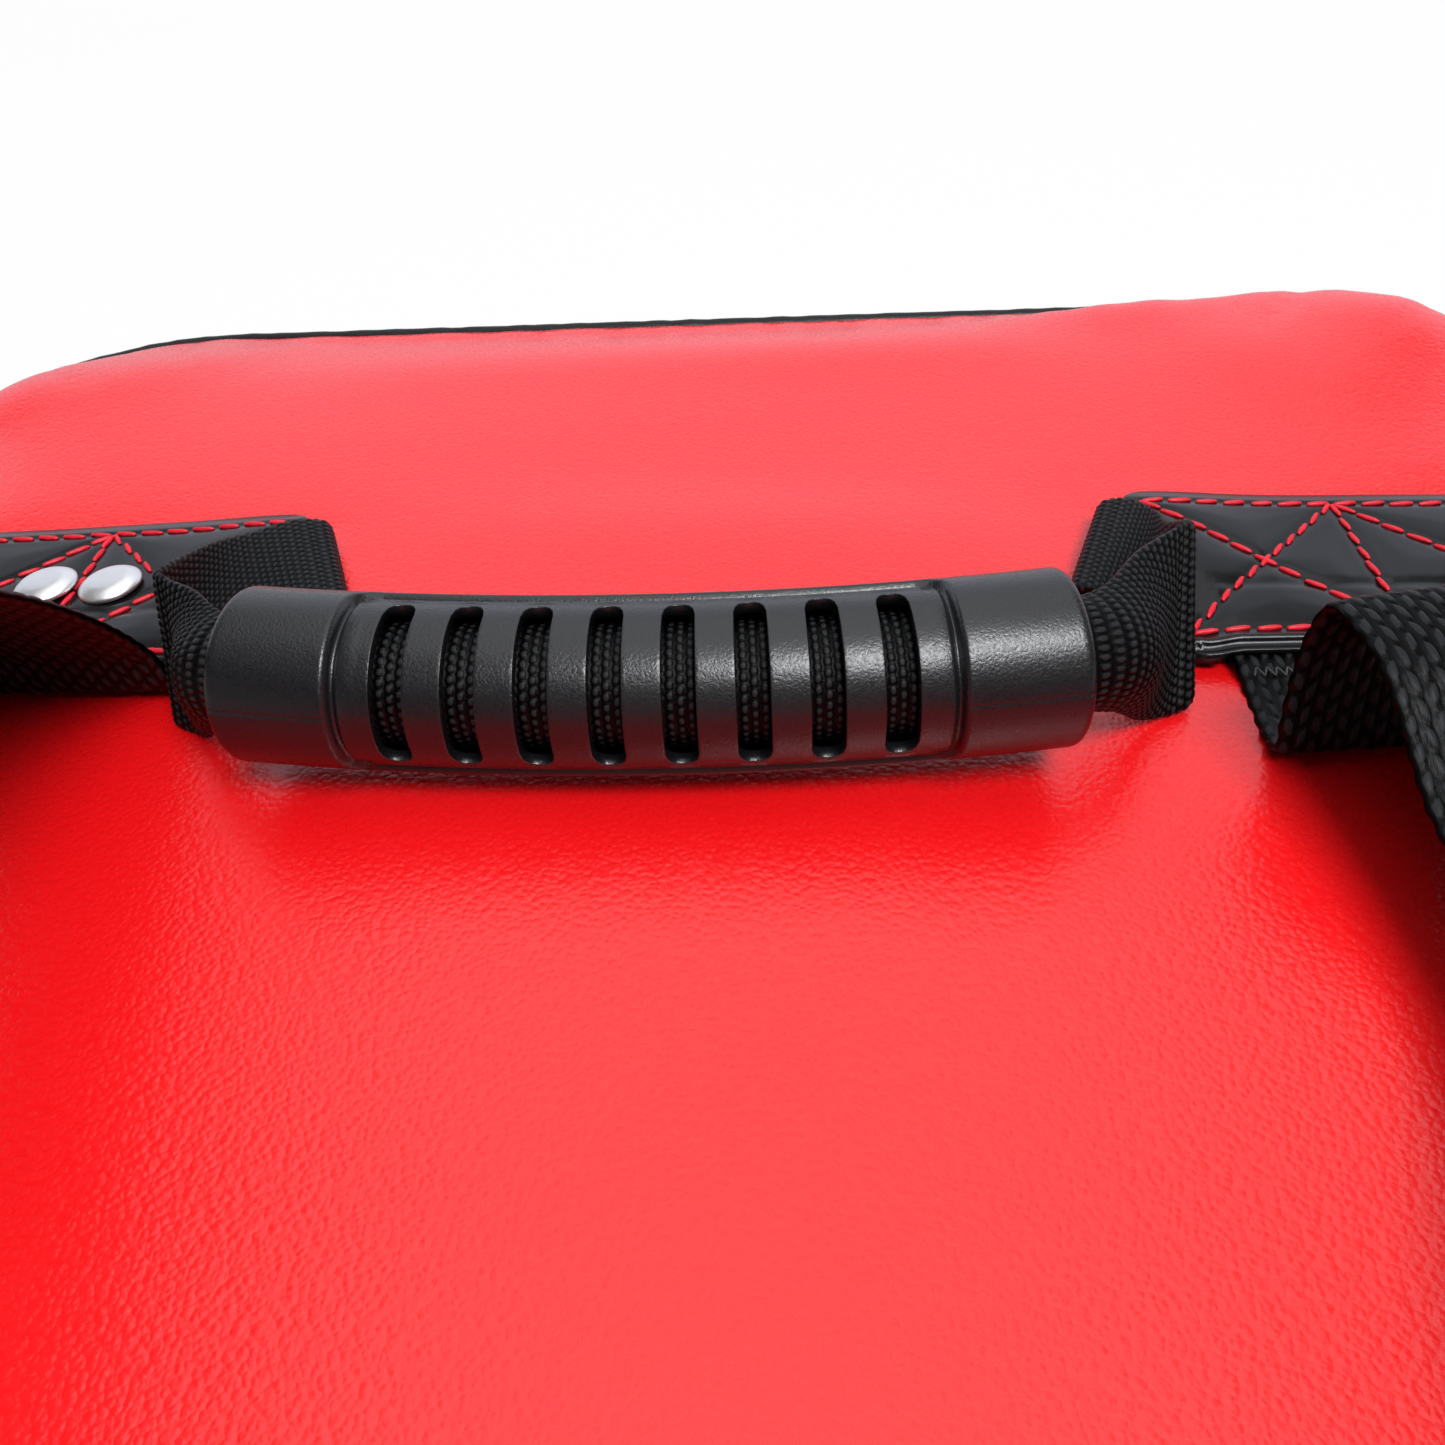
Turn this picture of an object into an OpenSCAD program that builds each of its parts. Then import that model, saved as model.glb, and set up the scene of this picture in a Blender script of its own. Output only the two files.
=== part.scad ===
// Padded kick shield lying on its striking face, back side up.
// Millimetres, +Z up out of the back, +Y toward the top edge, origin under the middle.

/* [Pad] */
// overall width across the piping
pad_w = 400; // [340:1:460]
// overall length across the piping
pad_l = 600; // [500:1:700]
// thickness from the striking face to the back panel
pad_t = 150; // [100:1:180]
// corner radius of the outline at the seams
corner_r = 60; // [45:1:80]
// width of the rolled edge of the two panels
roll = 34; // [24:1:40]
// fall of a panel from its flat middle to the seam
fall = 6; // [4:0.5:8]
// outward belly of the side wall at half height
belly = 2.5; // [1:0.1:4]
// thickness of the cover vinyl
skin = 1.4; // [1:0.1:2]
// diameter of the piping bead
bead_d = 4.4; // [3.4:0.1:5]
// how far the bead's middle stands outside the seam
bead_out = 0.6; // [0.4:0.1:0.8]

/* [Foam] */
// thickness of the hard layer behind the striking panel
front_layer = 43.3; // [30:0.1:48]
// thickness of the soft middle layer
middle_layer = 60; // [40:1:66]

/* [Patches] */
// clear distance between the inner ends of the left and right patches
patch_gap = 168; // [150:1:190]
// patch size along the length of the pad
patch_h = 53; // [48:1:60]
// distance of the patch centres from the middle of the pad
patch_y = 158; // [145:1:175]
// thickness of one ply of patch vinyl
ply = 1.3; // [1:0.1:1.6]
// radius of the patches' inner corners
patch_r = 5; // [3:0.5:8]
// how far the top ply's hem stands past the base ply
hem = 0.5; // [0.3:0.1:0.8]
// distance of the handle webbing from the patch's far edge
web_edge = 4.5; // [3:0.5:6]
// distance of the handle webbing's sewn end from the patch's outer end
tail_edge = 10; // [6:0.5:14]

/* [Handle] */
// width of the handle webbing
web_w = 30; // [26:1:32]
// thickness of the handle webbing
web_t = 2; // [1.6:0.1:2.4]
// length of the moulded grip
grip_len = 127; // [115:1:140]
// outside diameter of the grip collars
grip_d = 27.5; // [25:0.5:30]
// wall thickness of the grip
grip_wall = 2.7; // [2.2:0.1:3]
// rise of the grip's bow over its length
grip_bow = 5; // [3:0.5:7]
// height of the grip's middle line over the back panel
grip_z = 22; // [20:0.5:26]
// distance of the grip toward the pad's middle from the webbing's centre line
grip_out = 61; // [55:1:68]
// sideways shift of the grip from the middle, as it lies
grip_shift = 6; // [0:0.5:8]
// number of slots in the grip
slot_n = 8; // [6:1:9]
// distance from slot to slot
slot_pitch = 10.4; // [9.6:0.1:11]
// width of a slot
slot_w = 4.8; // [4:0.1:5.4]
// depth of the panel sunk into the grip
sunk = 1; // [0.7:0.1:1.2]
// how far the sunk panel runs past the end slots
sunk_end = 6; // [4:0.5:7]
// half angle the sunk panel covers
sunk_a = 80; // [60:1:85]
// how far the webbing's outer bend stands past the grip ends
reach = 24; // [20:0.5:26]
// play between the webbing and the grip's bore
play = 1.5; // [0.6:0.1:1.8]

/* [Arm straps] */
// width of the arm straps
strap_w = 50; // [44:1:55]
// thickness of the arm straps
strap_t = 2.2; // [1.8:0.1:2.4]
// distance of a strap's centre line from the middle of the pad
strap_x = 118; // [115:0.5:121]
// height of the left loop over the back panel
loop_h = 81; // [70:1:92]

/* [Rivets] */
// diameter of a rivet head
rivet_d = 12.4; // [10:0.2:12.8]
// height of a rivet head
rivet_h = 2.4; // [1.8:0.1:3]
// distance between the two rivets
rivet_gap = 13; // [13:0.1:15]
// distance of the first rivet from the patch's inner end
rivet_in = 33; // [30:0.5:36]
// distance of the rivets from the webbing's near edge
rivet_up = 7; // [5:0.5:12]
// diameter of a rivet's shank
shank_d = 3.4; // [2.8:0.1:3.8]
// thickness of a rivet washer
washer_t = 1; // [0.8:0.1:1.2]

/* [Hidden] */
$fn = 64;
eps = 0.01;
// clearance between sewn layers, and round loose pieces
fit = 0.1;
loose = 0.3;
// the webbing tails lie in a pocket this much higher than they are
ease = 0.4;
// the sewn tails stop this far inside the patch edge, where the free webbing begins
back = 0.7;
// the folded webbing runs this far into the grip
lead = 7;

// outline of the seams and the centres of its corners
seam_x = pad_w / 2 - bead_d / 2 - bead_out;
seam_y = pad_l / 2 - bead_d / 2 - bead_out;
cx = seam_x - corner_r;
cy = seam_y - corner_r;
// radii of the rolled edge and of the side wall's belly
flat_u = corner_r - roll;
roll_r = (roll * roll + fall * fall) / (2 * fall);
half_wall = pad_t / 2 - fall;
belly_r = (half_wall * half_wall + belly * belly) / (2 * belly);
seam_z = pad_t - fall;

// three foam layers from the striking side to the back
layer_1 = skin + loose + front_layer;
layer_2 = layer_1 + middle_layer;

// patches run from their inner ends to the start of the rolled edge
patch_in = patch_gap / 2;
patch_out = cx + flat_u;
tail_z = pad_t + ply;
tail_h = max(web_t, strap_t) + ease;
patch_top = tail_z + tail_h + ply;
// the handle webbing lies in the far part of the upper patches
web_far = patch_y + patch_h / 2 - web_edge;
web_mid = web_far - web_w / 2;
web_near = web_far - web_w;
tail_mid = tail_z + web_t / 2;
patch_low = patch_y - patch_h / 2;
strap_mid = tail_z + strap_t / 2;

// grip: bent about a far centre, its slots facing up and out
grip_y = web_mid - grip_out;
grip_mid = pad_t + grip_z;
bow_r = (grip_len * grip_len / 4 + grip_bow * grip_bow) / (2 * grip_bow);
grip_half = asin(grip_len / 2 / bow_r);
core_half = asin((grip_len / 2 - lead - back) / bow_r);
bow_y = grip_y - grip_bow / 2 + bow_r;
end_y = bow_y - sqrt(bow_r * bow_r - grip_len * grip_len / 4);
bore_r = grip_d / 2 - grip_wall;
core_out = bore_r - play;
core_in = core_out - web_t;
core_r = (core_out + core_in) / 2;
core_a = min(110, web_w / core_r / 2 * 180 / PI);
face_a = 38;
slot_half = bore_r + 0.7;
sunk_len = (slot_n - 1) * slot_pitch + slot_w + 2 * sunk_end;

// rivets sit on the left upper patch, through the webbing
rivet_x = -(patch_in + rivet_in);
rivet_y = web_near + rivet_up;

// colours
red = [0.85, 0.06, 0.07];
black = [0.07, 0.07, 0.07];
dark = [0.12, 0.12, 0.13];
foam_grey = [0.55, 0.56, 0.58];
foam_pale = [0.86, 0.85, 0.80];
steel = [0.8, 0.8, 0.82];

// filled half section of the pad, inset from the cover's outside by d;
// u runs outward from the corner centre, v is height
module half_section(d) {
    translate([0, d]) square([flat_u, pad_t - 2 * d]);
    intersection() {
        translate([flat_u, roll_r]) circle(r = roll_r - d);
        translate([flat_u, pad_t - roll_r]) circle(r = roll_r - d);
        translate([corner_r + belly - belly_r, pad_t / 2]) circle(r = belly_r - d, $fn = 128);
        translate([flat_u, 0]) square([2 * corner_r, pad_t]);
    }
}

// the half section's part between two heights
module section_band(d, low, high) {
    intersection() {
        half_section(d);
        translate([-1, low]) square([3 * corner_r, high - low]);
    }
}

// carries a half section round the outline, leaving the middle open
module round_outline() {
    for (sx = [0, 1], sy = [0, 1])
        mirror([sx, 0, 0]) mirror([0, sy, 0]) translate([cx, cy, 0])
            rotate_extrude(angle = 90) children();
    for (sx = [0, 1])
        mirror([sx, 0, 0]) translate([cx, cy, 0]) rotate([90, 0, 0])
            linear_extrude(height = 2 * cy) children();
    for (sy = [0, 1])
        mirror([0, sy, 0]) translate([-cx, cy, 0]) rotate([90, 0, 90])
            linear_extrude(height = 2 * cx) children();
}

// middle block between the corner centres
module middle_block(low, high) {
    translate([-cx, -cy, low]) cube([2 * cx, 2 * cy, high - low]);
}

module foam_layer(low, high) {
    round_outline() section_band(skin + loose, low, high);
    middle_block(max(low, skin + loose), min(high, pad_t - skin - loose));
}

module bead_clear(z) {
    translate([corner_r + bead_out, z]) circle(d = bead_d + 0.4, $fn = 32);
}

// one cover panel: the outer skin down to the seam
module panel_section() {
    difference() {
        section_band(0, seam_z - skin, pad_t + 1);
        half_section(skin);
        bead_clear(seam_z);
        translate([corner_r - skin - fit, 0]) square([20, pad_t]);
    }
}

module panel() {
    round_outline() panel_section();
    middle_block(pad_t - skin, pad_t);
}

module gusset_section() {
    difference() {
        section_band(0, fall - 1, seam_z + 1);
        half_section(skin);
        translate([-1, -1]) square([corner_r - skin + 1, pad_t + 2]);
        bead_clear(seam_z);
        bead_clear(fall);
    }
}

module bead_ring(z) {
    round_outline() translate([corner_r + bead_out, z]) circle(d = bead_d, $fn = 32);
}

// patch outline with rounded inner corners, on the right-hand side
module patch_plan(in, out, low, high, r) {
    translate([in + r, low]) square([out - in - r, high - low]);
    translate([in, low + r]) square([r + eps, high - low - 2 * r]);
    translate([in + r, low + r]) circle(r = r);
    translate([in + r, high - r]) circle(r = r);
}

module base_ply() {
    translate([0, 0, pad_t]) linear_extrude(height = ply)
        patch_plan(patch_in, patch_out, patch_low, patch_low + patch_h, patch_r);
}

// top ply with its turned-under hem, hollow over the webbing tails
module top_ply(with_handle) {
    difference() {
        translate([0, 0, tail_z]) linear_extrude(height = tail_h + ply)
            patch_plan(patch_in - hem, patch_out + hem, patch_low - hem, patch_low + patch_h + hem,
                       patch_r + hem);
        translate([strap_x - strap_w / 2 - fit, patch_low - 2, tail_z - 1])
            cube([strap_w + 2 * fit, web_near - fit - patch_low + 2, tail_h + 1]);
        if (with_handle)
            translate([patch_in - 2, web_near - fit, tail_z - 1])
                cube([patch_out - tail_edge - patch_in + 2 + fit, web_w + 2 * fit, tail_h + 1]);
    }
}

module rivet_holes() {
    for (i = [0, 1])
        translate([rivet_x - i * rivet_gap, rivet_y, pad_t - 10])
            cylinder(d = shank_d + 4 * fit, h = 30, $fn = 24);
}

module handle_tail() {
    translate([patch_in + back, web_near, tail_z])
        cube([patch_out - tail_edge - patch_in - back, web_w, web_t]);
}

module strap_tail() {
    translate([strap_x - strap_w / 2, patch_low + back, tail_z])
        cube([strap_w, web_near - 3 * fit - patch_low - back, strap_t]);
}

// smooth curve through hand-placed points, t counting points from 0; k holds the spans between them
function slope(p, k, i) = let (n = len(k))
    i == 0 ? (p[1] - p[0]) / k[0]
    : i == n ? (p[n] - p[n - 1]) / k[n - 1]
    : ((p[i] - p[i - 1]) / k[i - 1] * k[i] + (p[i + 1] - p[i]) / k[i] * k[i - 1]) / (k[i - 1] + k[i]);
function along(p, k, t) =
    let (i = min(floor(t), len(k) - 1), f = t - i, a = p[i], b = p[i + 1],
         u = slope(p, k, i) * k[i], v = slope(p, k, i + 1) * k[i])
    a + u * f + (3 * (b - a) - 2 * u - v) * f * f + (u + v - 2 * (b - a)) * f * f * f;
function unit(v) = v / norm(v);

// point q of a ribbon's cross-section, bent to the half angle bend; side is its face
function across(a, b, n, q, bend, off) =
    let (c = (a + b) / 2, u = unit(a - b), hc = norm(a - b) / 2)
    bend < 1 ? c + u * hc * q + n * off
             : let (ra = hc / sin(bend))
               c - n * ra * cos(bend) + (u * sin(bend * q) + n * cos(bend * q)) * (ra + off);

// half angle of the cross-section at t, from one value per point
function bend_at(v, t) = len(v) == 0 ? 0
    : let (i = min(floor(t), len(v) - 2)) v[i] + (v[i + 1] - v[i]) * (t - i);

// ribbon between two edge curves, from point t0 to point t1, of thickness th
module ribbon(pa, pb, t0, t1, steps, th, bends, m) {
    last = len(pa) - 1;
    span = [for (i = [1 : last]) (norm(pa[i] - pa[i - 1]) + norm(pb[i] - pb[i - 1])) / 2];
    rows = [for (k = [0 : steps])
        let (t = t0 + (t1 - t0) * k / steps, h = 0.02,
             a = along(pa, span, t), b = along(pb, span, t),
             lo = max(t - h, 0), hi = min(t + h, last),
             tan = along(pa, span, hi) + along(pb, span, hi) - along(pa, span, lo) - along(pb, span, lo),
             n = unit(cross(tan, a - b)),
             bend = bend_at(bends, t))
        concat([for (j = [0 : m]) across(a, b, n, 2 * j / m - 1, bend, th / 2)],
               [for (j = [m : -1 : 0]) across(a, b, n, 2 * j / m - 1, bend, -th / 2)])];
    w = 2 * (m + 1);
    sides = [for (k = [0 : steps - 1], j = [0 : w - 1])
        let (j2 = (j + 1) % w)
        [k * w + j, k * w + j2, (k + 1) * w + j2, (k + 1) * w + j]];
    tris = [for (s = sides) each [[s[0], s[1], s[2]], [s[0], s[2], s[3]]]];
    first = [for (j = [0 : m - 1]) each [[w - 1 - j, j + 1, j], [w - 1 - j, w - 2 - j, j + 1]]];
    z = steps * w;
    end = [for (j = [0 : m - 1])
        each [[z + w - 1 - j, z + j, z + j + 1], [z + w - 1 - j, z + j + 1, z + w - 2 - j]]];
    polyhedron([for (r = rows) each r], concat(tris, first, end), convexity = 6);
}

// edge curves of the folded handle webbing on one side, s = 1 right or -1 left
function mix(a, b, f) = a + (b - a) * f;
function mouth_x(s) = -s * grip_shift + grip_len / 2;
function bend_x(s) = mouth_x(s) + reach + (s < 0 ? -2.2 : 1.5);
// the cupped webbing's half width, and its edges' distance toward the slots
ca = core_r * sin(core_a);
cc = core_r * cos(core_a);
// edge of the webbing in the grip, d inside its end; k = 1 far or -1 near
function in_grip(s, k, d) =
    let (a = asin((grip_len / 2 - d) / bow_r), r = bow_r - k * ca * sin(face_a) + cc * cos(face_a))
    [s * r * sin(a) - grip_shift, bow_y - r * cos(a), grip_mid + k * ca * cos(face_a) + cc * sin(face_a)];
// out of the patch, back over it in a diagonal fold, round an upright crease and into the grip
function edge_far(s) = let (r = patch_in, h = bend_x(s), e = in_grip(s, 1, 0), m = s * e[0], y = e[1],
                            z = e[2], l = web_far - y) [
    [s * r, web_far, tail_mid],
    [s * (r - 2.2), web_far - 0.5, tail_mid + 0.3],
    [s * (r - 4.4), web_far - 1.4, tail_mid + 1.7],
    [s * (r - 4.4), web_far - 2.6, tail_mid + 3.9],
    [s * (r - 1.6), web_far - 4.2, tail_mid + 5.5],
    [s * (mix(r, h, 0.5) + 2.2), y + 0.765 * l, mix(tail_mid, z, 0.38)],
    [s * (h + 1), y + 0.56 * l, mix(tail_mid, z, 0.62)],
    [s * (h + 0.6), y + (0.375 + 0.045 * s) * l, z - 3.6],
    [s * (h + 0.1), y + (0.314 + 0.057 * s) * l, z - 1.9],
    [s * (h - 2.7), y + (0.276 + 0.06 * s) * l, z - 1.2],
    [s * mix(m, h, 0.62), y + (0.19 + 0.04 * s) * l, z - 0.3],
    in_grip(s, 1, -3),
    in_grip(s, 1, 1),
    in_grip(s, 1, lead)];
function edge_near(s) = let (r = patch_in, h = bend_x(s), e = in_grip(s, -1, 0), m = s * e[0], y = e[1],
                             z = e[2], l = web_near - y) [
    [s * r, web_near, tail_mid],
    [s * (r - 12.2), web_near - 0.2, tail_mid + 0.1],
    [s * (r - 15.6), web_near - 1.2, tail_mid + 1.5],
    [s * (r - 15.8), web_near - 2.8, tail_mid + 3.7],
    [s * (r - 13.6), web_near - 5.4, tail_mid + 5.2],
    [s * (mix(r, h, 0.5) - 9), y + 0.71 * l, pad_t + 6.7 - 0.6 * s],
    [s * (h - 4), y + 0.487 * l, pad_t + 5.4 - 0.8 * s],
    [s * (h - 0.7), y + 0.381 * l, pad_t + 3.7],
    [s * (h - 1.2), y + 0.302 * l, pad_t + 3.1],
    [s * (h - 5), y + 0.25 * l, pad_t + 3.2],
    [s * mix(m, h, 0.58), y + 0.185 * l, mix(pad_t + 3, z, 0.16)],
    in_grip(s, -1, -3),
    in_grip(s, -1, 1),
    in_grip(s, -1, lead)];
fold_bends = [0, 0, 0, 0, 0, 0, 0, 0, 0, 0, 30, 85, core_a, core_a];

module handle_fold(s) {
    if (s < 0) ribbon(edge_far(s), edge_near(s), 0, 13, 78, web_t, fold_bends, 6);
    else ribbon(edge_near(s), edge_far(s), 0, 13, 78, web_t, fold_bends, 6);
}

// a section in the plane across the grip, carried along its bow for half angle a
module along_bow(a) {
    translate([-grip_shift, bow_y, grip_mid]) rotate([0, 0, -90 - a])
        rotate_extrude(angle = 2 * a, $fn = 180) translate([bow_r, 0]) children();
}

// the part of a section that faces out of the slots, opened to half angle a
module facing(a, r) {
    intersection() {
        children();
        rotate(face_a) polygon([[0, 0], for (k = [-2 : 2]) 2 * r * [cos(k * a / 2), sin(k * a / 2)]]);
    }
}

// edge curves of the arm straps: position across, along and over the back panel
function loop_half(y) = [
    [y, strap_mid],
    [y - 3.5, strap_mid + 0.8],
    [y - 9, pad_t + 0.175 * loop_h],
    [y - 17.7, pad_t + 0.323 * loop_h],
    [y - 28.4, pad_t + 0.467 * loop_h],
    [y - 38.4, pad_t + 0.58 * loop_h],
    [0.57 * y, pad_t + 0.74 * loop_h],
    [0.38 * y, pad_t + 0.89 * loop_h],
    [0.19 * y, pad_t + 0.975 * loop_h]];
function loop_left(x) = let (half = loop_half(patch_low)) concat(
    [for (p = half) [-x, p[0], p[1]]],
    [[-x, 0, pad_t + loop_h]],
    [for (k = [8 : -1 : 0]) [-x, -half[k][0], half[k][1]]]);
// the right strap is kinked below its patch: flat, up, over and down; o is 0 inside, 1 outside
function loop_right(x, o) = let (y = patch_low, z = pad_t) [
    [x, y, strap_mid],
    [x - 1, y - 21 + 2 * o, strap_mid + 0.2],
    [x - 2, y - 29 + 4 * o, z + 6],
    [x - 2, y - 28 + 6 * o, z + 14],
    [x - 1, y - 26 + 9 * o, z + 25],
    [x - 0.5, y - 29 + 9 * o, z + 33],
    [x + 1, y - 38 + 9 * o, z + 34],
    [x + 5, 0.53 * y + 7 * o, z + 0.268 * loop_h],
    [x + 6, 0.36 * y + 4 * o, z + 0.268 * loop_h],
    [x + 5, 0.10 * y, z + 0.493 * loop_h],
    [x + 3, -0.18 * y, z + 0.64 * loop_h],
    [x + 2, -0.46 * y, z + 0.58 * loop_h],
    [x + 1, -0.68 * y, z + 0.398 * loop_h],
    [x, 16 - y, z + 0.164 * loop_h],
    [x, 6 - y, strap_mid + 1.2],
    [x, -y, strap_mid]];

module left_loop(t0, t1, steps) {
    ribbon(loop_left(strap_x - strap_w / 2), loop_left(strap_x + strap_w / 2), t0, t1, steps,
           strap_t, [], 2);
}

module right_loop(t0, t1, steps) {
    ribbon(loop_right(strap_x + strap_w / 2, 1), loop_right(strap_x - strap_w / 2, 0), t0, t1, steps,
           strap_t, [], 2);
}

module front_foam() {
    color(foam_grey) foam_layer(0, layer_1);
}

module middle_foam() {
    color(foam_pale) foam_layer(layer_1, layer_2);
}

// the back layer is recessed for the rivet washers
module back_foam() {
    color(foam_grey) difference() {
        foam_layer(layer_2, pad_t);
        for (i = [0, 1])
            translate([rivet_x - i * rivet_gap, rivet_y, pad_t - skin - loose - washer_t])
                cylinder(d = rivet_d, h = 2 * skin + washer_t);
    }
}

module striking_panel() {
    color(red) translate([0, 0, pad_t]) mirror([0, 0, 1]) panel();
}

module side_gusset() {
    color(black) round_outline() gusset_section();
}

module back_panel() {
    color(red) difference() {
        panel();
        rivet_holes();
    }
}

module front_piping() {
    color(black) bead_ring(fall);
}

module back_piping() {
    color(black) bead_ring(seam_z);
}

module left_upper_base() {
    color(black) difference() {
        mirror([1, 0, 0]) base_ply();
        rivet_holes();
    }
}

module right_upper_base() {
    color(black) base_ply();
}

module left_lower_base() {
    color(black) mirror([1, 0, 0]) mirror([0, 1, 0]) base_ply();
}

module right_lower_base() {
    color(black) mirror([0, 1, 0]) base_ply();
}

module left_upper_patch() {
    color(dark) difference() {
        mirror([1, 0, 0]) top_ply(true);
        rivet_holes();
    }
}

module right_upper_patch() {
    color(dark) top_ply(true);
}

module left_lower_patch() {
    color(dark) mirror([1, 0, 0]) mirror([0, 1, 0]) top_ply(false);
}

module right_lower_patch() {
    color(dark) mirror([0, 1, 0]) top_ply(false);
}

module left_handle_tail() {
    color(black) difference() {
        mirror([1, 0, 0]) handle_tail();
        rivet_holes();
    }
}

module right_handle_tail() {
    color(black) handle_tail();
}

module left_handle_fold() {
    color(black) handle_fold(-1);
}

module right_handle_fold() {
    color(black) handle_fold(1);
}

// webbing cupped inside the grip
module handle_webbing() {
    color(black) along_bow(core_half) facing(core_a, grip_d) difference() {
        circle(r = core_out);
        circle(r = core_in);
    }
}

// tube with collars, a sunk panel on its outer face and a row of slots in it
module handle_grip() {
    color(dark) difference() {
        along_bow(grip_half) difference() {
            circle(d = grip_d);
            circle(r = bore_r);
        }
        along_bow(asin(sunk_len / 2 / bow_r)) facing(sunk_a, grip_d) difference() {
            circle(d = grip_d + 4);
            circle(d = grip_d - 2 * sunk);
        }
        for (k = [0 : slot_n - 1])
            translate([-grip_shift, bow_y, grip_mid])
                rotate([0, 0, asin((k - (slot_n - 1) / 2) * slot_pitch / bow_r)])
                    translate([0, -bow_r, 0]) rotate([90 - face_a, 0, 0])
                        linear_extrude(height = grip_d) {
                            square([slot_w, 2 * slot_half - slot_w], center = true);
                            for (e = [-1, 1])
                                translate([0, e * (slot_half - slot_w / 2)]) circle(d = slot_w, $fn = 32);
                        }
    }
}

module left_strap_top_tail() {
    color(black) mirror([1, 0, 0]) strap_tail();
}

module left_strap_bottom_tail() {
    color(black) mirror([1, 0, 0]) mirror([0, 1, 0]) strap_tail();
}

module right_strap_top_tail() {
    color(black) strap_tail();
}

module right_strap_bottom_tail() {
    color(black) mirror([0, 1, 0]) strap_tail();
}

module left_strap_top_root() {
    color(black) left_loop(0, 6, 24);
}

module left_strap_bottom_root() {
    color(black) left_loop(12, 18, 24);
}

module right_strap_top_root() {
    color(black) right_loop(0, 7, 42);
}

module right_strap_bottom_root() {
    color(black) right_loop(12, 15, 12);
}

module left_arm_strap() {
    color(black) left_loop(6, 12, 24);
}

module right_arm_strap() {
    color(black) right_loop(7, 12, 20);
}

// domed heads with shanks through patch, webbing and panel
module rivet_heads() {
    dome_r = (rivet_d * rivet_d / 4 + rivet_h * rivet_h) / (2 * rivet_h);
    color(steel) for (i = [0, 1])
        translate([rivet_x - i * rivet_gap, rivet_y, 0]) {
            intersection() {
                translate([0, 0, patch_top + rivet_h - dome_r]) sphere(r = dome_r);
                translate([0, 0, patch_top]) cylinder(d = rivet_d + 1, h = rivet_h + 1);
            }
            translate([0, 0, pad_t - skin - washer_t])
                cylinder(d = shank_d, h = patch_top + 0.5 - pad_t + skin + washer_t, $fn = 24);
        }
}

module rivet_washers() {
    color(steel) for (i = [0, 1])
        translate([rivet_x - i * rivet_gap, rivet_y, pad_t - skin - washer_t])
            difference() {
                cylinder(d = rivet_d - 1, h = washer_t);
                translate([0, 0, -1]) cylinder(d = shank_d + 2 * fit, h = washer_t + 2, $fn = 24);
            }
}

front_foam();
middle_foam();
back_foam();
striking_panel();
side_gusset();
back_panel();
front_piping();
back_piping();
left_upper_base();
right_upper_base();
left_lower_base();
right_lower_base();
left_upper_patch();
right_upper_patch();
left_lower_patch();
right_lower_patch();
left_handle_tail();
right_handle_tail();
left_handle_fold();
right_handle_fold();
handle_webbing();
handle_grip();
left_strap_top_tail();
left_strap_bottom_tail();
right_strap_top_tail();
right_strap_bottom_tail();
left_strap_top_root();
left_strap_bottom_root();
right_strap_top_root();
right_strap_bottom_root();
left_arm_strap();
right_arm_strap();
rivet_heads();
rivet_washers();
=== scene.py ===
import math
import random

import bmesh
import bpy
import numpy as np
from mathutils import Matrix, Vector


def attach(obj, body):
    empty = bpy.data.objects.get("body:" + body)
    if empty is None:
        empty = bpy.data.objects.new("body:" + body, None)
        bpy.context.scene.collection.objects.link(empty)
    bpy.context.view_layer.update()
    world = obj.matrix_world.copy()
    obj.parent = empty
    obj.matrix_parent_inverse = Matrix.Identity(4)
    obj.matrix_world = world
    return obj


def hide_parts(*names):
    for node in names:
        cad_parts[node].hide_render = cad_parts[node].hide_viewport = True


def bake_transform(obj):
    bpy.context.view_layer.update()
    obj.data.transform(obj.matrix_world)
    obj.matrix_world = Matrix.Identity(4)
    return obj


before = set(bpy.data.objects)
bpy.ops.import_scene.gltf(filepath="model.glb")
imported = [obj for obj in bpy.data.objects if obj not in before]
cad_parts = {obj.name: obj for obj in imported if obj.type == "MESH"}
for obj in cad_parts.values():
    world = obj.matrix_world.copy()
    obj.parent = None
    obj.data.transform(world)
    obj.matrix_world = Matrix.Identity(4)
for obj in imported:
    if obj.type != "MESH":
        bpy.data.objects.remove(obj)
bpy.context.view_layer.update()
scene = bpy.context.scene
scene.view_settings.view_transform = "Standard"
mm = 0.001  # every shape below is worked in millimetres and written in metres
weldGap = 0.004 * mm
fullTurn = 2 * math.pi
print("frame loaded:", len(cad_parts), "nodes")

# the camera stands low over the near half of the pad, as in the photograph
photoCamera = {
    "place": (13.86, -52.4, 294.2),
    "right": (0.99881296, 0.02254311, -0.04317968),
    "up": (0.018432, 0.64562901, 0.76342874),
    "forward": (-0.04508812, 0.7633184, -0.64444711),
    "lens": 32.387, "sensor": 36.0, "clip": (0.01, 60),
}


def makeCamera(s):
    data = bpy.data.cameras.new("photoCamera")
    data.lens, data.sensor_width = s["lens"], s["sensor"]
    data.clip_start, data.clip_end = s["clip"]
    camera = bpy.data.objects.new("photoCamera", data)
    turn = Matrix((s["right"], s["up"], [-x for x in s["forward"]])).transposed()
    camera.matrix_world = Matrix.Translation(Vector(s["place"]) * mm) @ turn.to_4x4()
    scene.collection.objects.link(camera)
    scene.camera = camera


makeCamera(photoCamera)
print("camera placed")


def linkObject(name, bm):
    mesh = bpy.data.meshes.new(name)
    bm.to_mesh(mesh)
    bm.free()
    obj = bpy.data.objects.new(name, mesh)
    scene.collection.objects.link(obj)
    return obj


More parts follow.
